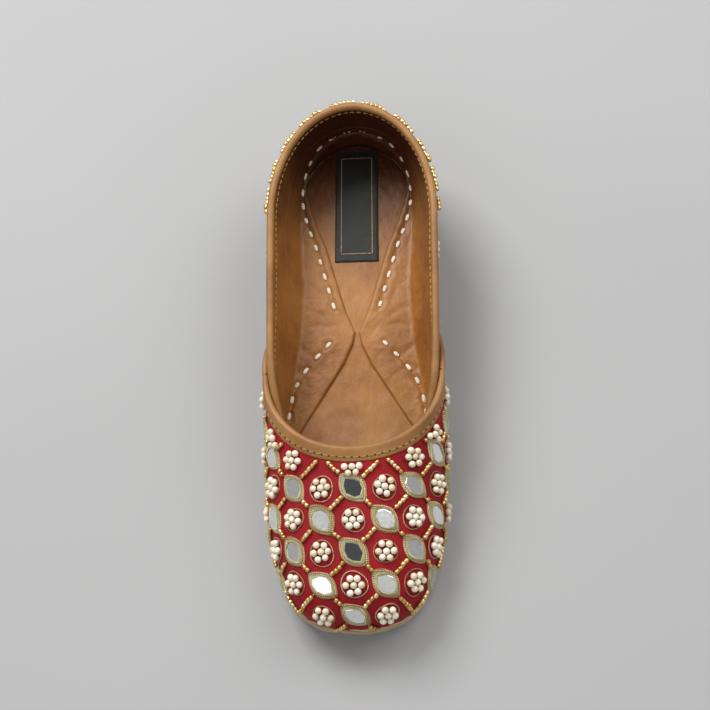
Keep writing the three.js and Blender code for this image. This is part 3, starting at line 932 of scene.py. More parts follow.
def revolved(profile, sides, wrap=False):
    """Verts, quads and cap triangles of (height, radius) rows turned round the third axis."""
    turn = np.linspace(0, 2 * math.pi, sides, endpoint=False)
    rings = np.array([[(r * math.cos(t), r * math.sin(t), z) for t in turn] for z, r in profile])
    verts, size = rings.reshape(-1, 3), (len(profile), sides)
    if wrap:
        return verts, looped(*size), None
    verts = np.concatenate([verts, [(0, 0, profile[0][0]), (0, 0, profile[-1][0])]])
    return verts, grid_quads(*size, wrap=True), end_fans(*size)


def ball(sides=13, rings=8):
    turn = np.linspace(0, math.pi, rings + 1)[1:-1]
    v, q, t = revolved([(-math.cos(a), math.sin(a)) for a in turn], sides)
    v[-2:, 2] = (-1, 1)
    return v, q, t


BALL = ball()
SEED_PROFILE = [(-0.5, 0.4), (-0.5, 0.8), (-0.34, 1.0), (0.34, 1.0), (0.5, 0.8), (0.5, 0.4)]
SEED = revolved(SEED_PROFILE, 10, wrap=True)


def tube(batch, path, normal, radius, sides=5, closed=False, tone=0.5, flat=1.0):
    """A thread along a path that lies on a surface with these normals."""
    path = np.asarray(path, float)
    if closed:
        tangent = np.roll(path, -1, axis=0) - np.roll(path, 1, axis=0)
    else:
        tangent = np.gradient(path, axis=0)
    tangent = unit(tangent)
    side = unit(np.cross(tangent, normal))
    up = np.cross(side, tangent)
    turn = np.linspace(0, 2 * math.pi, sides, endpoint=False)
    radius = np.broadcast_to(np.asarray(radius, float), (len(path),))[:, None, None]
    ring = side[:, None] * np.cos(turn)[None, :, None] + up[:, None] * (np.sin(turn) * flat)[None, :, None]
    verts = (path[:, None] + ring * radius).reshape(-1, 3)
    size = (len(path), sides)
    uv = np.stack(np.broadcast_arrays(arc_length(path)[:, None], turn[None] / 2 / math.pi), -1)
    uv = uv.reshape(-1, 2)
    if closed:
        batch.add(verts, looped(*size), None, uv, tone)
    else:
        verts, uv = np.concatenate([verts, path[:1], path[-1:]]), np.concatenate([uv, uv[:1], uv[-1:]])
        batch.add(verts, grid_quads(*size, wrap=True), end_fans(*size), uv, tone)


# ---------------------------------------------------------------- moving about on a face
def slopes(face, a, v):
    """How a place on a face moves as a and as v change."""
    step = 1e-3
    a0, a1 = np.clip(a - step, -1, 1), np.clip(a + step, -1, 1)
    v0, v1 = np.clip(v - step, 0, 1), np.clip(v + step, 0, 1)
    along = (face(a1, v) - face(a0, v)) / (a1 - a0)[..., None]
    rise = (face(a, v1) - face(a, v0)) / (v1 - v0)[..., None]
    return along, rise


def solve(along, rise, step):
    """The change in (a, v) that moves a place by a 3-D step, as nearly as the face allows."""
    aa, vv, av = (along * along).sum(-1), (rise * rise).sum(-1), (along * rise).sum(-1)
    sa, sv = (along * step).sum(-1), (rise * step).sum(-1)
    det = aa * vv - av * av
    return (vv * sa - av * sv) / det, (aa * sv - av * sa) / det


def walk(face, a, v, offset):
    """(a, v) of the place on a face nearest to a point offset from the place (a, v)."""
    a, v = np.broadcast_arrays(np.asarray(a, float), np.asarray(v, float))
    a, v, offset = np.broadcast_arrays(a[..., None], v[..., None], np.asarray(offset, float))
    a, v = a[..., 0].copy(), v[..., 0].copy()
    target = face(a, v) + offset
    for _ in range(4):
        along, rise = slopes(face, a, v)
        da, dv = solve(along, rise, target - face(a, v))
        a, v = np.clip(a + da, -1, 1), np.clip(v + dv, 0, 1)
    return a, v


def climb(face, a):
    """A row of v, and for each station the distance up the face from its foot to each of them."""
    v = np.linspace(0, 1, 61)
    steps = np.linalg.norm(np.diff(face(a[:, None], v[None]), axis=1), axis=-1)
    return v, np.concatenate([np.zeros((len(a), 1)), np.cumsum(steps, axis=1)], axis=1)


def reach(face, a, v):
    """Distances along the face from places to its rim and to its foot."""
    steps, length = climb(face, np.atleast_1d(a))
    from_foot = np.array([np.interp(at, steps, row) for at, row in zip(np.atleast_1d(v), length)])
    return length[:, -1] - from_foot, from_foot


def lay(face, a, v, right, down, shape):
    """(a, v) of each place of a flat outline laid on a face round one place."""
    return walk(face, a, v, shape[:, :1] * right + shape[:, 1:] * down)


# ---------------------------------------------------------------- where the beadwork goes
PITCH = 13.5
FIRST_ROW = 16.9
ROW_TILT = math.radians(68)
LEVEL = np.array([0, math.sin(ROW_TILT), math.cos(ROW_TILT)])
SIDE_ROW_STEP = 12.4
THROAT_STRETCH = 1.12


class VampChart:
    """The vamp's bead lattice: i counts columns from the centre line, j counts rows from the throat to the toe."""

    face = staticmethod(vamp_face)
    HAND = 1
    EDGE, FLOWER_CLEAR, MIRROR_CLEAR = BAND, BAND + 4.9, BAND + 6.6
    STEP, STEPS, ROW_STEP = 0.5, 200, 0.1

    def __init__(self):
        v = np.linspace(1, 0, 401)
        line = vamp_face(0.0, v)
        arc = arc_length(line)
        first, last = -FIRST_ROW / PITCH, (arc[-1] - FIRST_ROW) / PITCH
        self.rows = np.arange(-8.0, last - 0.01, self.ROW_STEP)
        at = FIRST_ROW + self.rows * PITCH
        open_throat = at < 0
        level = np.interp(at, arc, line @ LEVEL)
        level = np.where(open_throat, line[0] @ LEVEL + (first - self.rows) * SIDE_ROW_STEP, level)
        s_top = np.linspace(0, 1, 801)
        top = vamp_topline(s_top)
        s = np.where(open_throat, np.interp(level, top @ LEVEL, s_top), 0.0)
        v = np.where(open_throat, 1.0, np.interp(at, arc, v))
        self.start = np.where(open_throat, THROAT_STRETCH * vamp_topline(s)[:, 0], 0.0)
        track, alive = [(s, v)], np.ones(len(s), bool)
        ended = np.full(len(s), 1e9)
        for n in range(self.STEPS):
            along, rise = slopes(vamp_face, s, v)
            normal = unit(np.cross(along, rise))
            ahead = unit(np.cross(normal, LEVEL))
            ahead = ahead * np.where((ahead @ [1.0, 0, -0.3]) < 0, -1, 1)[:, None]
            uphill = LEVEL - normal * (normal @ LEVEL)[:, None]
            drift = (level - vamp_face(s, v) @ LEVEL) / (uphill * uphill).sum(-1)
            ds, dv = solve(along, rise, ahead * self.STEP + uphill * drift[:, None])
            alive = alive & (v + dv > 0) & (s + ds < 1)
            ended = np.where(~alive & (ended > 1e8), n * self.STEP, ended)
            s, v = np.where(alive, s + ds, s), np.where(alive, np.minimum(v + dv, 1), v)
            track.append((s, v))
        self.s, self.v = (np.stack([t[k] for t in track], 1) for k in (0, 1))
        self.end = self.start + np.minimum(ended, self.STEPS * self.STEP)

    def at(self, i, j):
        """(s, v) and whether the place is on the vamp, for arrays of lattice places."""
        i, j = np.broadcast_arrays(np.asarray(i, float), np.asarray(j, float))
        far = np.abs(i) * PITCH
        row = np.clip((j - self.rows[0]) / self.ROW_STEP, 0, len(self.rows) - 1.001)
        low, part = row.astype(int), row - row.astype(int)
        ok = (j >= self.rows[0]) & (j <= self.rows[-1])
        out = []
        for table in (self.s, self.v):
            ends = []
            for r in (low, low + 1):
                u = np.clip((far - self.start[r]) / self.STEP, 0, table.shape[1] - 1.001)
                n, f = u.astype(int), u - u.astype(int)
                ends.append(table[r, n] * (1 - f) + table[r, n + 1] * f)
            out.append(ends[0] * (1 - part) + ends[1] * part)
        for r in (low, low + 1):
            ok = ok & (far >= self.start[r] - 0.01) & (far <= self.end[r])
        return np.where(i < 0, -out[0], out[0]), out[1], ok

    def sites(self):
        return [(i, j) for j in range(-7, 6) for i in range(-6, 7)]


class QuarterChart:
    """The quarter's bead lattice: i counts columns from the middle of the heel, j counts rows down."""

    face = staticmethod(quarter_face)
    HAND = -1  # its columns are counted the other way round, seen from outside
    EDGE, FLOWER_CLEAR, MIRROR_CLEAR = ROLL_OUTER, ROLL_OUTER + 3.4, ROLL_OUTER + 5.2
    LOWEST, RISE = 8.4, 13.3

    def __init__(self):
        self.a = np.linspace(0, 1, 401)
        self.arc = arc_length(quarter_face(self.a, 0.45))

    def at(self, i, j):
        i, j = np.broadcast_arrays(np.asarray(i, float), np.asarray(j, float))
        far = np.abs(i) * PITCH
        a = np.interp(far, self.arc, self.a)
        height = self.LOWEST - self.RISE * j
        steps, length = climb(quarter_face, a.ravel())
        v = np.array([np.interp(h, row, steps) for h, row in zip(height.ravel(), length)]).reshape(a.shape)
        full = length[:, -1].reshape(a.shape)
        ok = (far <= self.arc[-1]) & (height > 0.3) & (height < full)
        place = quarter_face(a, v)
        s = np.linspace(THROAT_SHARE, 1, 81)
        edge = vamp_topline(s)
        limit = np.interp(-place[..., 2], -edge[:, 2], edge[:, 1])
        ok = ok & (place[..., 1] > limit + 3.0)
        return np.where(i < 0, -a, a), v, ok

    def sites(self):
        return [(i, j) for j in (0, -1, -2) for i in range(-14, 15)]


def frames_at(chart, a, v, i, j):
    """Rightward and downward directions of the lattice at places on its face."""
    normal = outward(chart.face, a, v)
    step = 0.04
    a0, v0, _ = chart.at(i - step, j)
    a1, v1, _ = chart.at(i + step, j)
    right = chart.face(a1, v1) - chart.face(a0, v0)
    right = unit(right - normal * (right * normal).sum(-1, keepdims=True))
    return right, np.cross(right, normal) * chart.HAND


# ---------------------------------------------------------------- motifs
PEARL_RADIUS, PEARL_RING = 1.5, 3.15
LOOP_RADIUS = 5.1
ALMOND_LONG, ALMOND_SHORT = 7.2, 4.9
GLASS_LONG, GLASS_SHORT = 5.0, 3.75
FOOT_CLEAR = 4.6
CROWDED = 7.0  # centres nearer than this would lie on each other

pearls, loops, glass, wound, wires, seeds = (Batch() for _ in range(6))


def add_pearls(face, a, v, radii):
    """Single pearls sewn on at places of a face."""
    normal = outward(face, a, v)
    for n in range(len(a)):
        tilt = rng.normal(0, 0.5, 3)
        axis = unit(normal[n] + tilt * 0.4)
        side = unit(np.cross(axis, [0.3, 1, 0.2]))
        turn = np.stack([side, np.cross(axis, side), axis])
        wide, deep, tall = 1 + rng.uniform(-0.05, 0.05), 1 + rng.uniform(-0.05, 0.05), rng.uniform(0.88, 0.98)
        scale = radii[n] * np.array([wide, deep, tall])
        centre = face(a[n], v[n]) + normal[n] * radii[n] * 0.86
        pearls.add(centre + (BALL[0] * scale) @ turn, BALL[1], BALL[2], tone=rng.uniform())


def add_seed(centre, along, side, radius, length):
    """One gold bead, its hole running along."""
    turn = np.stack([side, np.cross(along, side), along])
    seeds.add(centre + (SEED[0] * [radius, radius, length]) @ turn, SEED[1], tone=rng.uniform())


def flower(chart, a, v, right, down, mirrors):
    """A pearl ringed by six, less those the edges or a mirror leave no room for, and a thread round it."""
    face = chart.face
    spin = rng.normal(0, 0.16)
    turn = spin + np.arange(6) * math.pi / 3
    ring = PEARL_RING + rng.normal(0, 0.12, 6)
    shape = np.concatenate([[[0, 0]], np.stack([ring * np.cos(turn), ring * np.sin(turn)], 1)])
    shape = shape + rng.normal(0, 0.12, shape.shape)
    pa, pv = lay(face, a, v, right, down, shape)
    below, above = reach(face, pa, pv)
    keep = (below > chart.EDGE + 1.0) & (above > 0.8)
    for centre, long_axis, short_axis in mirrors:
        offset = face(pa, pv) - centre
        along = offset @ long_axis / (ALMOND_LONG - 0.2)
        across = np.abs(offset @ short_axis) / (ALMOND_SHORT - 0.5)
        keep &= across > 1 - along**2
    if keep.sum() < 4:
        return
    radii = PEARL_RADIUS * (1 + rng.normal(0, 0.035, 7))
    add_pearls(face, pa[keep], pv[keep], radii[keep])
    t = np.linspace(0, 2 * math.pi, 44, endpoint=False)
    wobble = 1 + 0.05 * np.sin(2 * t + rng.uniform(0, 6)) + 0.03 * np.sin(3 * t + rng.uniform(0, 6))
    radius = (LOOP_RADIUS + rng.normal(0, 0.2)) * wobble
    drift = rng.normal(0, 0.3, 2)
    shape = np.stack([radius * np.cos(t) + drift[0], radius * np.sin(t) + drift[1]], 1)
    la, lv = lay(face, a, v, right, down, shape)
    below, above = reach(face, la, lv)
    if (below > chart.EDGE + 0.3).all() and (above > 0.5).all():
        tube(loops, shifted(face, la, lv, 0.28), outward(face, la, lv), 0.27, closed=True, tone=rng.uniform())


def almond(t, long, short):
    """A pointed oval's outline at angles t."""
    x = np.cos(t)
    lift = np.maximum(1 - np.abs(x) ** 1.75, 0) ** 0.86
    return np.stack([long * x, short * lift * np.sign(np.sin(t) + 1e-12)], -1)


ALMOND_T = np.linspace(0, 2 * math.pi, 56, endpoint=False)


def polygon_radius(corner, angle):
    """How far a ray from the middle goes before it leaves a polygon."""
    ray = np.array([math.cos(angle), math.sin(angle)])
    best = 1e9
    for p, q in zip(corner, np.roll(corner, -1, axis=0)):
        side = q - p
        det = ray[0] * -side[1] + ray[1] * side[0]
        if abs(det) < 1e-9:
            continue
        far = (p[0] * -side[1] + p[1] * side[0]) / det
        share = (ray[0] * p[1] - ray[1] * p[0]) / det
        if far > 0 and -1e-6 <= share <= 1 + 1e-6:
            best = min(best, far)
    return best


GLASS_ROWS = [(1.06, -0.25), (1.06, 0.0), (0.97, 0.14), (0.9, 0.16)]  # share of the way out, and height
WOUND_ROWS = [
    (0.0, -0.1), (0.0, 0.72), (0.04, 1.05), (0.2, 1.22), (0.45, 1.12), (0.7, 0.82), (0.9, 0.45), (1.0, -0.15)
]  # fmt: skip
# the three threads couched round a mirror: how far out, how high, how thick, and how much each strays
OUTLINE_THREADS = [(1.0, 0.42, 0.46, 0.0), (1.09, 0.26, 0.22, 0.16), (0.84, 1.1, 0.2, 0.2)]


def add_glass(centre, normal, long_axis, short_axis, corner):
    """An eight-cornered piece of mirror with a ground edge, not quite level."""
    tilt = rng.normal(0, 0.045, 2)
    flat = unit(normal + long_axis * tilt[0] + short_axis * tilt[1])
    rings = []
    for share, height in GLASS_ROWS:
        rings.append(centre + (corner * share) @ np.stack([long_axis, short_axis]) + flat * height)
    rings = np.array(rings)
    lean = (rings - centre) @ (long_axis * tilt[0] + short_axis * tilt[1])
    rings = rings - lean[..., None] * normal
    verts = np.concatenate([rings.reshape(-1, 3), rings[0].mean(0)[None], rings[-1].mean(0)[None]])
    glass.add(verts, grid_quads(4, 8, wrap=True), end_fans(4, 8), tone=rng.uniform())


def mirror(chart, a, v, right, down):
    """A mirror held by a wound frame in the shape of a pointed oval, with threads couched round it."""
    face = chart.face
    spin = math.radians(45) + rng.normal(0, 0.07)
    long_axis = right * math.cos(spin) + down * math.sin(spin)
    short_axis = -right * math.sin(spin) + down * math.cos(spin)
    size = 1 + rng.normal(0, 0.02)
    outer = almond(ALMOND_T, ALMOND_LONG * size, ALMOND_SHORT * size)

    eighths = np.arange(8)
    corners = eighths * math.pi / 4 + rng.normal(0, 0.1, 8)
    reach_out = np.where(eighths % 2, 0.93, 1.0) + rng.normal(0, 0.05, 8)
    corner = np.stack([GLASS_LONG * np.cos(corners), GLASS_SHORT * np.sin(corners)], -1) * reach_out[:, None]
    facing = np.arctan2(outer[:, 1], outer[:, 0])
    radius = np.array([polygon_radius(corner, f) for f in facing])[:, None]
    inner = radius * np.stack([np.cos(facing), np.sin(facing)], -1)

    centre, normal = face(a, v), outward(face, a, v)
    add_glass(centre + normal * 0.75, normal, long_axis, short_axis, corner)

    rows = []
    for share, height in WOUND_ROWS:
        shape = inner * (1 - share) + outer * share
        curved = shifted(face, *lay(face, a, v, long_axis, short_axis, shape), height)
        rigid = centre + shape[:, :1] * long_axis + shape[:, 1:] * short_axis + normal * height
        rows.append(mix(rigid, curved, smooth(share, 0.1, 0.8)))
    uv = np.stack(np.broadcast_arrays(arc_length(outer)[None], np.linspace(0, 3, len(rows))[:, None]), -1)
    wound.add(rows, looped(len(rows), len(outer)), None, uv, tone=rng.uniform())

    for grow, height, thick, stir in OUTLINE_THREADS:
        slow, quick = 3 * ALMOND_T + rng.uniform(0, 6), 5 * ALMOND_T + rng.uniform(0, 6)
        wave = stir * (np.sin(slow) + 0.6 * np.sin(quick))
        shape = outer * (grow + wave[:, None] / 9) + rng.normal(0, 0.1, 2) * (stir > 0)
        wa, wv = lay(face, a, v, long_axis, short_axis, shape)
        path, out = shifted(face, wa, wv, height), outward(face, wa, wv)
        tube(wires, path, out, thick, closed=True, tone=rng.uniform())


def string(chart, start, end, clear_start, clear_end, bead_length, bead_radius, gap):
    """A row of gold beads sewn along the lattice from one place to another, with its thread."""
    t = np.linspace(0, 1, 49)
    i, j = mix(start[0], end[0], t), mix(start[1], end[1], t)
    a, v, ok = chart.at(i, j)
    below, above = reach(chart.face, a, v)
    ok = ok & (below > chart.EDGE + 0.5) & (above > 0.6)
    length = arc_length(chart.face(a, v))
    first, last = clear_start, length[-1] - clear_end
    usable = ok & (length >= first) & (length <= last)
    if usable.sum() < 3:
        return
    run = np.flatnonzero(usable)
    first, last = length[run[0]], length[run[-1]]
    count = int((last - first + gap) // (bead_length + gap))
    if count < 1:
        return
    spare = (last - first - count * bead_length - (count - 1) * gap) / 2
    bow = rng.normal(0, 0.25)
    for n in range(count):
        middle = first + spare + bead_length / 2 + n * (bead_length + gap)
        share = np.interp([middle - 0.4, middle, middle + 0.4], length, t)
        pa, pv, _ = chart.at(mix(start[0], end[0], share), mix(start[1], end[1], share))
        normal = outward(chart.face, pa[1], pv[1])
        p = chart.face(pa, pv)
        along = unit(p[2] - p[0] + rng.normal(0, 0.07, 3))
        side = unit(np.cross(along, normal))
        radius = bead_radius * (1 + rng.normal(0, 0.06))
        centre = p[1] + normal * radius * 0.95 + side * (rng.normal(0, 0.12) + bow)
        add_seed(centre, along, side, radius, bead_length * (1 + rng.normal(0, 0.05)))
    inside = (length >= first - 1.2) & (length <= last + 1.2) & ok
    if inside.sum() > 3:
        run = np.flatnonzero(inside)
        path = shifted(chart.face, a[run], v[run], 0.5)
        tube(loops, path, outward(chart.face, a[run], v[run]), 0.22, tone=rng.uniform())


def beadwork(chart):
    """Mirrors on every other place of a lattice, pearl flowers between them, and bead strings joining the mirrors."""
    sites = chart.sites()
    i, j = np.array(sites, float).T
    a, v, ok = chart.at(i, j)
    below, above = reach(chart.face, a, v)
    right, down = frames_at(chart, a, v, i, j)
    mirrors, placed = {}, []
    for n in sorted(range(len(sites)), key=lambda n: sum(sites[n]) % 2):  # mirrors first
        ci, cj = sites[n]
        if not ok[n]:
            continue
        is_mirror = (ci + cj) % 2 == 0
        short = (chart.MIRROR_CLEAR if is_mirror else chart.FLOWER_CLEAR) - below[n]
        if is_mirror and (short > 3.4 or above[n] < 6.0):
            continue
        if not is_mirror and (short > 8.0 or above[n] < 2.2):
            continue
        lift = 0.0
        if short > 0:
            lift = short if is_mirror or short < 1.6 else min(short, 4.6)
        elif above[n] < FOOT_CLEAR:
            lift = above[n] - FOOT_CLEAR
        pa, pv = walk(chart.face, a[n], v[n], down[n] * lift)
        centre = chart.face(pa, pv)
        if any(np.linalg.norm(centre - other) < CROWDED for other in placed):
            continue
        placed.append(centre)
        if is_mirror:
            mirror(chart, pa, pv, right[n], down[n])
            mirrors[(ci, cj)] = (centre, unit(right[n] + down[n]), unit(down[n] - right[n]))
        else:
            flower(chart, pa, pv, right[n], down[n], mirrors.values())
    for ci, cj in mirrors:
        for di, dj in ((1, 1), (-1, -1), (-1, 1), (1, -1)):
            tip = di == dj
            clear = ALMOND_LONG + 0.3 if tip else ALMOND_SHORT + 0.5
            there = (ci + di, cj + dj) in mirrors
            if there and dj < 0:
                continue
            bead = (1.55, 1.0, 0.2) if tip else (1.9, 0.95, 0.08)
            string(chart, (ci, cj), (ci + di, cj + dj), clear, clear if there else 0.3, *bead)


beadwork(VampChart())
beadwork(QuarterChart())


HEEL_EDGING_SPAN, HEEL_EDGING_GROUP, HEEL_EDGING_GAP = 0.42, 6, 3.4


def heel_edging():
    """Gold seeds in short runs under the roll round the heel, standing proud of the rim."""
    a = np.linspace(-HEEL_EDGING_SPAN, HEEL_EDGING_SPAN, 401)
    v = down_face(quarter_face, a)(ROLL_OUTER - 0.1)
    path, out = quarter_face(a, v), outward(quarter_face, a, v)
    length = arc_length(path)
    where, count = 1.0, 0
    while where < length[-1] - 1:
        size = 1.95 * (1 + rng.normal(0, 0.06))
        spots = np.array([where, where + size / 2, where + size])
        p = along_path(spots, length, path)
        normal = unit(along_path(spots[1], length, out))
        along = unit(p[2] - p[0] + rng.normal(0, 0.12, 3))
        side = unit(np.cross(along, normal))
        radius = 1.12 * (1 + rng.normal(0, 0.07))
        centre = p[1] + normal * (radius * 1.05 + ROLL_PROUD + 0.4) + side * rng.normal(0, 0.15)
        add_seed(centre, along, side, radius, size)
        count += 1
        where += size + (HEEL_EDGING_GAP * rng.uniform(0.7, 1.3) if count % HEEL_EDGING_GROUP == 0 else 0.1)
    tube(loops, path + out * (ROLL_PROUD + 0.6), out, 0.3, tone=0.5)


heel_edging()



# ---------------------------------------------------------------- surfaces of the small things
def toned(name, *colours, **shader):
    """A surface whose colour varies from one small piece to the next."""
    m = Surface(name, **shader)
    tone = m.add("Attribute", {}, "Fac", attribute_name="tone")
    return m, m.ramp(tone, *zip(np.linspace(0, 1, len(colours)).tolist(), colours))


def slanting_plies(m, turns, slant):
    """Waves along a thread that lean over as they go round it."""
    along = m.add("SeparateXYZ", {"Vector": m.place("UV")}, "X")
    round_it = m.sum(along.node.outputs["Y"], slant, "MULTIPLY")
    return m.sum(m.sum(m.sum(along, turns, "MULTIPLY"), round_it), 0.0, "SINE")


def pearl_surface():
    creams = (226, 212, 184), (240, 231, 210), (248, 243, 230)
    m, colour = toned("pearl", *creams, Coat_Weight=0.55, Coat_Roughness=0.18)
    cloud = m.noise(m.place(), 900.0, 3.0)
    colour = m.blend(0.35, colour, m.ramp(cloud, (0.3, (226, 206, 176)), (0.7, (255, 252, 244))), "MULTIPLY")
    m.set(Subsurface_Weight=0.12, Subsurface_Radius=(0.0012, 0.0009, 0.0006), Specular_IOR_Level=0.6)
    return m.set(Base_Color=colour, Roughness=m.spread(cloud, 0.24, 0.42), Normal=m.bump(cloud, 0.00005))


def metal_surface(name, colours, low, high, plies=None):
    """Brushed gold, or thread wound in it if plies are given as turns and slant."""
    m, colour = toned(name, *colours, Metallic=0.88)
    height = grain = m.noise(m.place(), 1600.0, 3.0)
    if plies:
        ply = slanting_plies(m, *plies)
        height = m.sum(ply, m.sum(grain, 0.4, "MULTIPLY"))
        shade = m.add("MapRange", {"Value": ply, "From Min": -1.0, "From Max": 0.6})
        shadow = m.ramp(shade, (0.0, (112, 92, 66)), (0.75, (255, 252, 240)))
        colour = m.blend(0.75, colour, shadow, "MULTIPLY")
    return m.set(Base_Color=colour, Roughness=m.spread(grain, low, high), Normal=m.bump(height, 0.00012))


BRIGHT_GOLD = (196, 156, 84), (224, 190, 124), (240, 216, 168)
DULL_GOLD = (196, 168, 122), (222, 196, 154), (238, 218, 184)
GREEN_GOLD = (214, 212, 170), (226, 226, 192), (238, 240, 216)
FULL_TURN = 6.283
PEARL = pearl_surface()
GOLD = metal_surface("gold_bead", BRIGHT_GOLD, 0.22, 0.42)
GOLD_THREAD = metal_surface("gold_thread", DULL_GOLD, 0.32, 0.55, plies=(6.5, FULL_TURN))
WOUND = metal_surface("wound_thread", GREEN_GOLD, 0.35, 0.6, plies=(14.0, 1.6))
mirror_m = Surface("mirror_glass", Metallic=0.95, Coat_Weight=0.6, Coat_Roughness=0.03)
haze = mirror_m.noise(mirror_m.place(), 500.0, 3.0)
MIRROR = mirror_m.set(
    Base_Color=mirror_m.ramp(haze, (0.3, (232, 232, 230)), (0.7, (246, 246, 244))),
    Roughness=mirror_m.spread(haze, 0.04, 0.14),
    Normal=mirror_m.bump(haze, 0.00003),
)

finish_piece(pearls.object("pearl_flowers"), PEARL, "pearl")
finish_piece(seeds.object("gold_seed_beads"), GOLD, "gold_thread")
finish_piece(loops.object("gold_thread_rings"), GOLD_THREAD, "gold_thread")
finish_piece(wires.object("mirror_outline_threads"), GOLD_THREAD, "gold_thread")
finish_piece(wound.object("mirror_wound_frames"), WOUND, "gold_thread")
finish_piece(glass.object("mirror_glass_pieces", smooth_faces=False), MIRROR, "mirror_glass")


# ---------------------------------------------------------------- stitching
BAND_STITCH_AT, BAND_STITCH_STEP = 4.1, 3.3
ROLL_STITCH_AT, ROLL_STITCH_STEP = 6.6, 3.1


def stitched_line(threads, holes, face, w, offset, step, dash, radius, hole):
    """Machine stitches along a face, w below its rim: a thread segment between each pair of needle holes, each hole a
    flat dark disc of painted shade.
    """
    a = np.linspace(-1, 1, 901)
    at = down_face(face, a)(w)
    path = shifted(face, a, at, offset)
    out = outward(face, a, at) * math.copysign(1, offset)
    length, arch = arc_length(path), np.linspace(-1, 1, 7)

    def sample(where):
        return along_path(where, length, path), unit(along_path(where, length, out))

    for n in range(int(length[-1] // step)):
        middle = (n + 0.5) * step + rng.normal(0, 0.08)
        p, up = sample(middle + np.linspace(-dash / 2, dash / 2, 7))
        p = p + up * (0.1 * (1 - arch**2) - 0.06)[:, None]
        tube(threads, p, up, radius * np.maximum(1 - np.abs(arch) ** 4, 0.4), sides=6, tone=rng.uniform())
        # a flat dark disc at each needle hole: painted shade of the hole
        p, up = sample(np.array([(n + 1) * step]))
        side = unit(np.cross(up[0], [0.2, 1, 0.1]))
        turn = np.stack([side, np.cross(up[0], side), up[0]])
        holes.add(p[0] + (BALL[0] * [hole, hole, hole * 0.3]) @ turn, BALL[1], BALL[2])


flaps, hand_threads, holes = lining_flaps()
finish_piece(flaps, LINING, "lining_leather")
band_threads, roll_threads = Batch(), Batch()
band_line = vamp_face, BAND_STITCH_AT, BAND_PROUD + 0.04, BAND_STITCH_STEP
stitched_line(band_threads, holes, *band_line, dash=2.2, radius=0.34, hole=0.46)
roll_line = quarter_face, ROLL_STITCH_AT, -WALL - 0.12, ROLL_STITCH_STEP
stitched_line(roll_threads, holes, *roll_line, dash=2.3, radius=0.32, hole=0.22)


def thread_surface(name, dark, light, plies=0.45):
    """Spun cotton thread, its plies showing as slanting ridges."""
    m, colour = toned(name, dark, light, Specular_IOR_Level=0.35, Sheen_Weight=0.2)
    ply = slanting_plies(m, 7.0, FULL_TURN)
    fuzz = m.noise(m.place(), 2600.0, 3.0)
    shade = m.add("MapRange", {"Value": ply, "From Min": -1.0})
    colour = m.blend(plies, colour, m.ramp(shade, (0.0, (150, 140, 125)), (0.7, (255, 255, 255))), "MULTIPLY")
    relief = m.bump(m.sum(ply, fuzz), 0.00008)
    return m.set(Base_Color=colour, Roughness=m.spread(fuzz, 0.5, 0.75), Normal=relief)


# painted shade: each needle hole is a flat dark brown disc, its colour standing in for the shade inside the hole
def hole_shade_surface():
    m = Surface("needle_hole_shade", Specular_IOR_Level=0.1)
    fuzz = m.noise(m.place(), 1500.0, 2.0)
    rough = m.spread(fuzz, 0.8, 0.95)
    return m.set(Base_Color=m.ramp(fuzz, (0.3, (62, 38, 20)), (0.7, (92, 58, 32))), Roughness=rough)


def label_surface():
    m = Surface("label_cloth", Specular_IOR_Level=0.35, Sheen_Weight=0.12)
    at = m.place()
    waves = {"Vector": at, "Scale": 420.0, "Distortion": 0.6, "Detail": 2.0}
    ribs = m.add("TexWave", waves, "Fac", bands_direction="Y")
    cloud = m.noise(at, 95.0, 4.0)
    colour = m.ramp(cloud, (0.3, (17, 18, 17)), (0.55, (30, 31, 24)), (0.75, (44, 45, 32)))
    colour = m.blend(0.3, colour, m.ramp(ribs, (0.0, (160, 160, 150)), (1.0, (255, 255, 255))), "MULTIPLY")
    rough = m.spread(cloud, 0.42, 0.6)
    return m.set(Base_Color=colour, Roughness=rough, Normal=m.bump(ribs, 0.00006))


WHITE = thread_surface("white_thread", (232, 220, 198), (250, 242, 228), plies=0.18)
OLIVE = thread_surface("olive_thread", (150, 118, 52), (178, 146, 74))
YELLOW = thread_surface("yellow_thread", (196, 150, 74), (220, 178, 100))
finish_piece(hand_threads.object("white_hand_stitches"), WHITE, "thread")
finish_piece(band_threads.object("vamp_binding_stitches"), OLIVE, "thread")
finish_piece(roll_threads.object("lining_stitches"), YELLOW, "thread")
finish_piece(holes.object("needle_hole_shade_discs"), hole_shade_surface(), "binding_leather")
finish_piece(label(), label_surface(), "label_cloth")
finish_piece(label_line(), GOLD_THREAD, "gold_thread")


# ---------------------------------------------------------------- camera, floor and light
VIEW_UP, VIEW_SIDE, VIEW_DISTANCE, LENS = math.radians(65), math.radians(9), 640.0, 72.0
AIM = Vector((0, 0, 26)) * MM


def look(forward, upright=Vector((0, 0, 1))):
    """Rotation of a camera or a light that faces forward, with the upright direction up in the picture."""
    right = forward.cross(upright).normalized()
    return Matrix((right, right.cross(forward), -forward)).transposed().to_4x4()


camera = bpy.data.objects.new("camera", bpy.data.cameras.new("camera"))
bpy.context.scene.collection.objects.link(camera)
camera.data.lens, camera.data.sensor_width = LENS, 36.0
level = math.cos(VIEW_UP)
away = Vector((math.sin(VIEW_SIDE) * level, -math.cos(VIEW_SIDE) * level, math.sin(VIEW_UP)))
along_shoe = Vector((0, 1, 0))  # stands upright in the picture, as in the photo
camera.matrix_world = Matrix.Translation(AIM + away * VIEW_DISTANCE * MM) @ look(-away, along_shoe)
bpy.context.scene.camera = camera

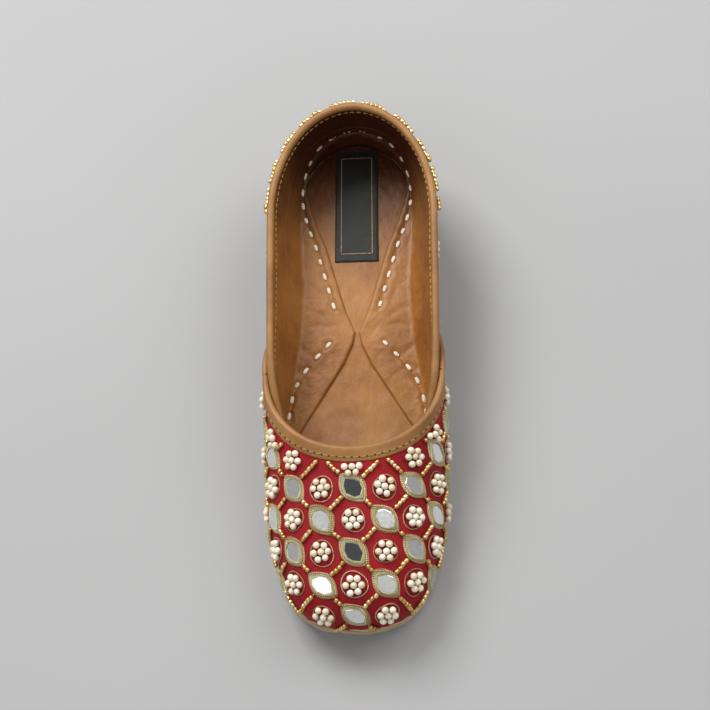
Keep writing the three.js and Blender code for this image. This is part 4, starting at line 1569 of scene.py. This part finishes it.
floor_surface = Surface("floor_paper", Roughness=0.85, Specular_IOR_Level=0.15)
floor_tone = floor_surface.noise(floor_surface.place(), 3.0, 2.0)
floor_surface.set(Base_Color=floor_surface.ramp(floor_tone, (0.3, (164, 164, 164)), (0.7, (169, 169, 169))))
FLOOR_HALF = 3000
floor_corners = [(x * FLOOR_HALF, y * FLOOR_HALF, 0) for x, y in ((-1, -1), (1, -1), (1, 1), (-1, 1))]
floor = make("floor", floor_corners, [(0, 1, 2, 3)])
floor.data.materials.append(floor_surface.material)


def area_light(name, at, aim, size, power):
    light = bpy.data.objects.new(name, bpy.data.lights.new(name, "AREA"))
    bpy.context.scene.collection.objects.link(light)
    light.data.shape, light.data.size, light.data.energy = "SQUARE", size, power
    at = Vector(at)
    light.matrix_world = Matrix.Translation(at) @ look((Vector(aim) - at).normalized())


area_light("key_light", (-0.6, 0.85, 1.15), (0, 0, 0.02), 0.8, 24)
area_light("fill_light", (0.75, 0.6, 1.0), (0, 0, 0.02), 0.9, 8)
area_light("front_light", (-0.5, -0.9, 1.0), (0, -0.05, 0.02), 1.0, 2.5)
# the studio is pale all round but for the dark patch overhead that the flattest mirrors pick up
DARK_TILT = math.radians(12)
world = bpy.data.worlds.new("studio")
world.use_nodes = True
sky = world.node_tree
direction = sky.nodes.new("ShaderNodeTexCoord").outputs["Generated"]
overhead = sky.nodes.new("ShaderNodeVectorMath")
overhead.operation = "DOT_PRODUCT"
overhead.inputs[1].default_value = (0, -math.sin(DARK_TILT), math.cos(DARK_TILT))
sky.links.new(direction, overhead.inputs[0])
shade = sky.nodes.new("ShaderNodeValToRGB")
stops = shade.color_ramp.elements
stops[0].position, stops[0].color = 0.0, srgb(206, 206, 206)
stops[1].position, stops[1].color = 0.965, srgb(52, 52, 56)
for at, colour in ((0.4, (196, 196, 196)), (0.66, (246, 246, 246)), (0.915, (252, 252, 250))):
    stops.new(at).color = srgb(*colour)
sky.links.new(overhead.outputs["Value"], shade.inputs["Fac"])
sky.links.new(shade.outputs["Color"], sky.nodes["Background"].inputs["Color"])
sky.nodes["Background"].inputs["Strength"].default_value = 0.58
bpy.context.scene.world = world
bpy.context.scene.view_settings.view_transform = "Standard"
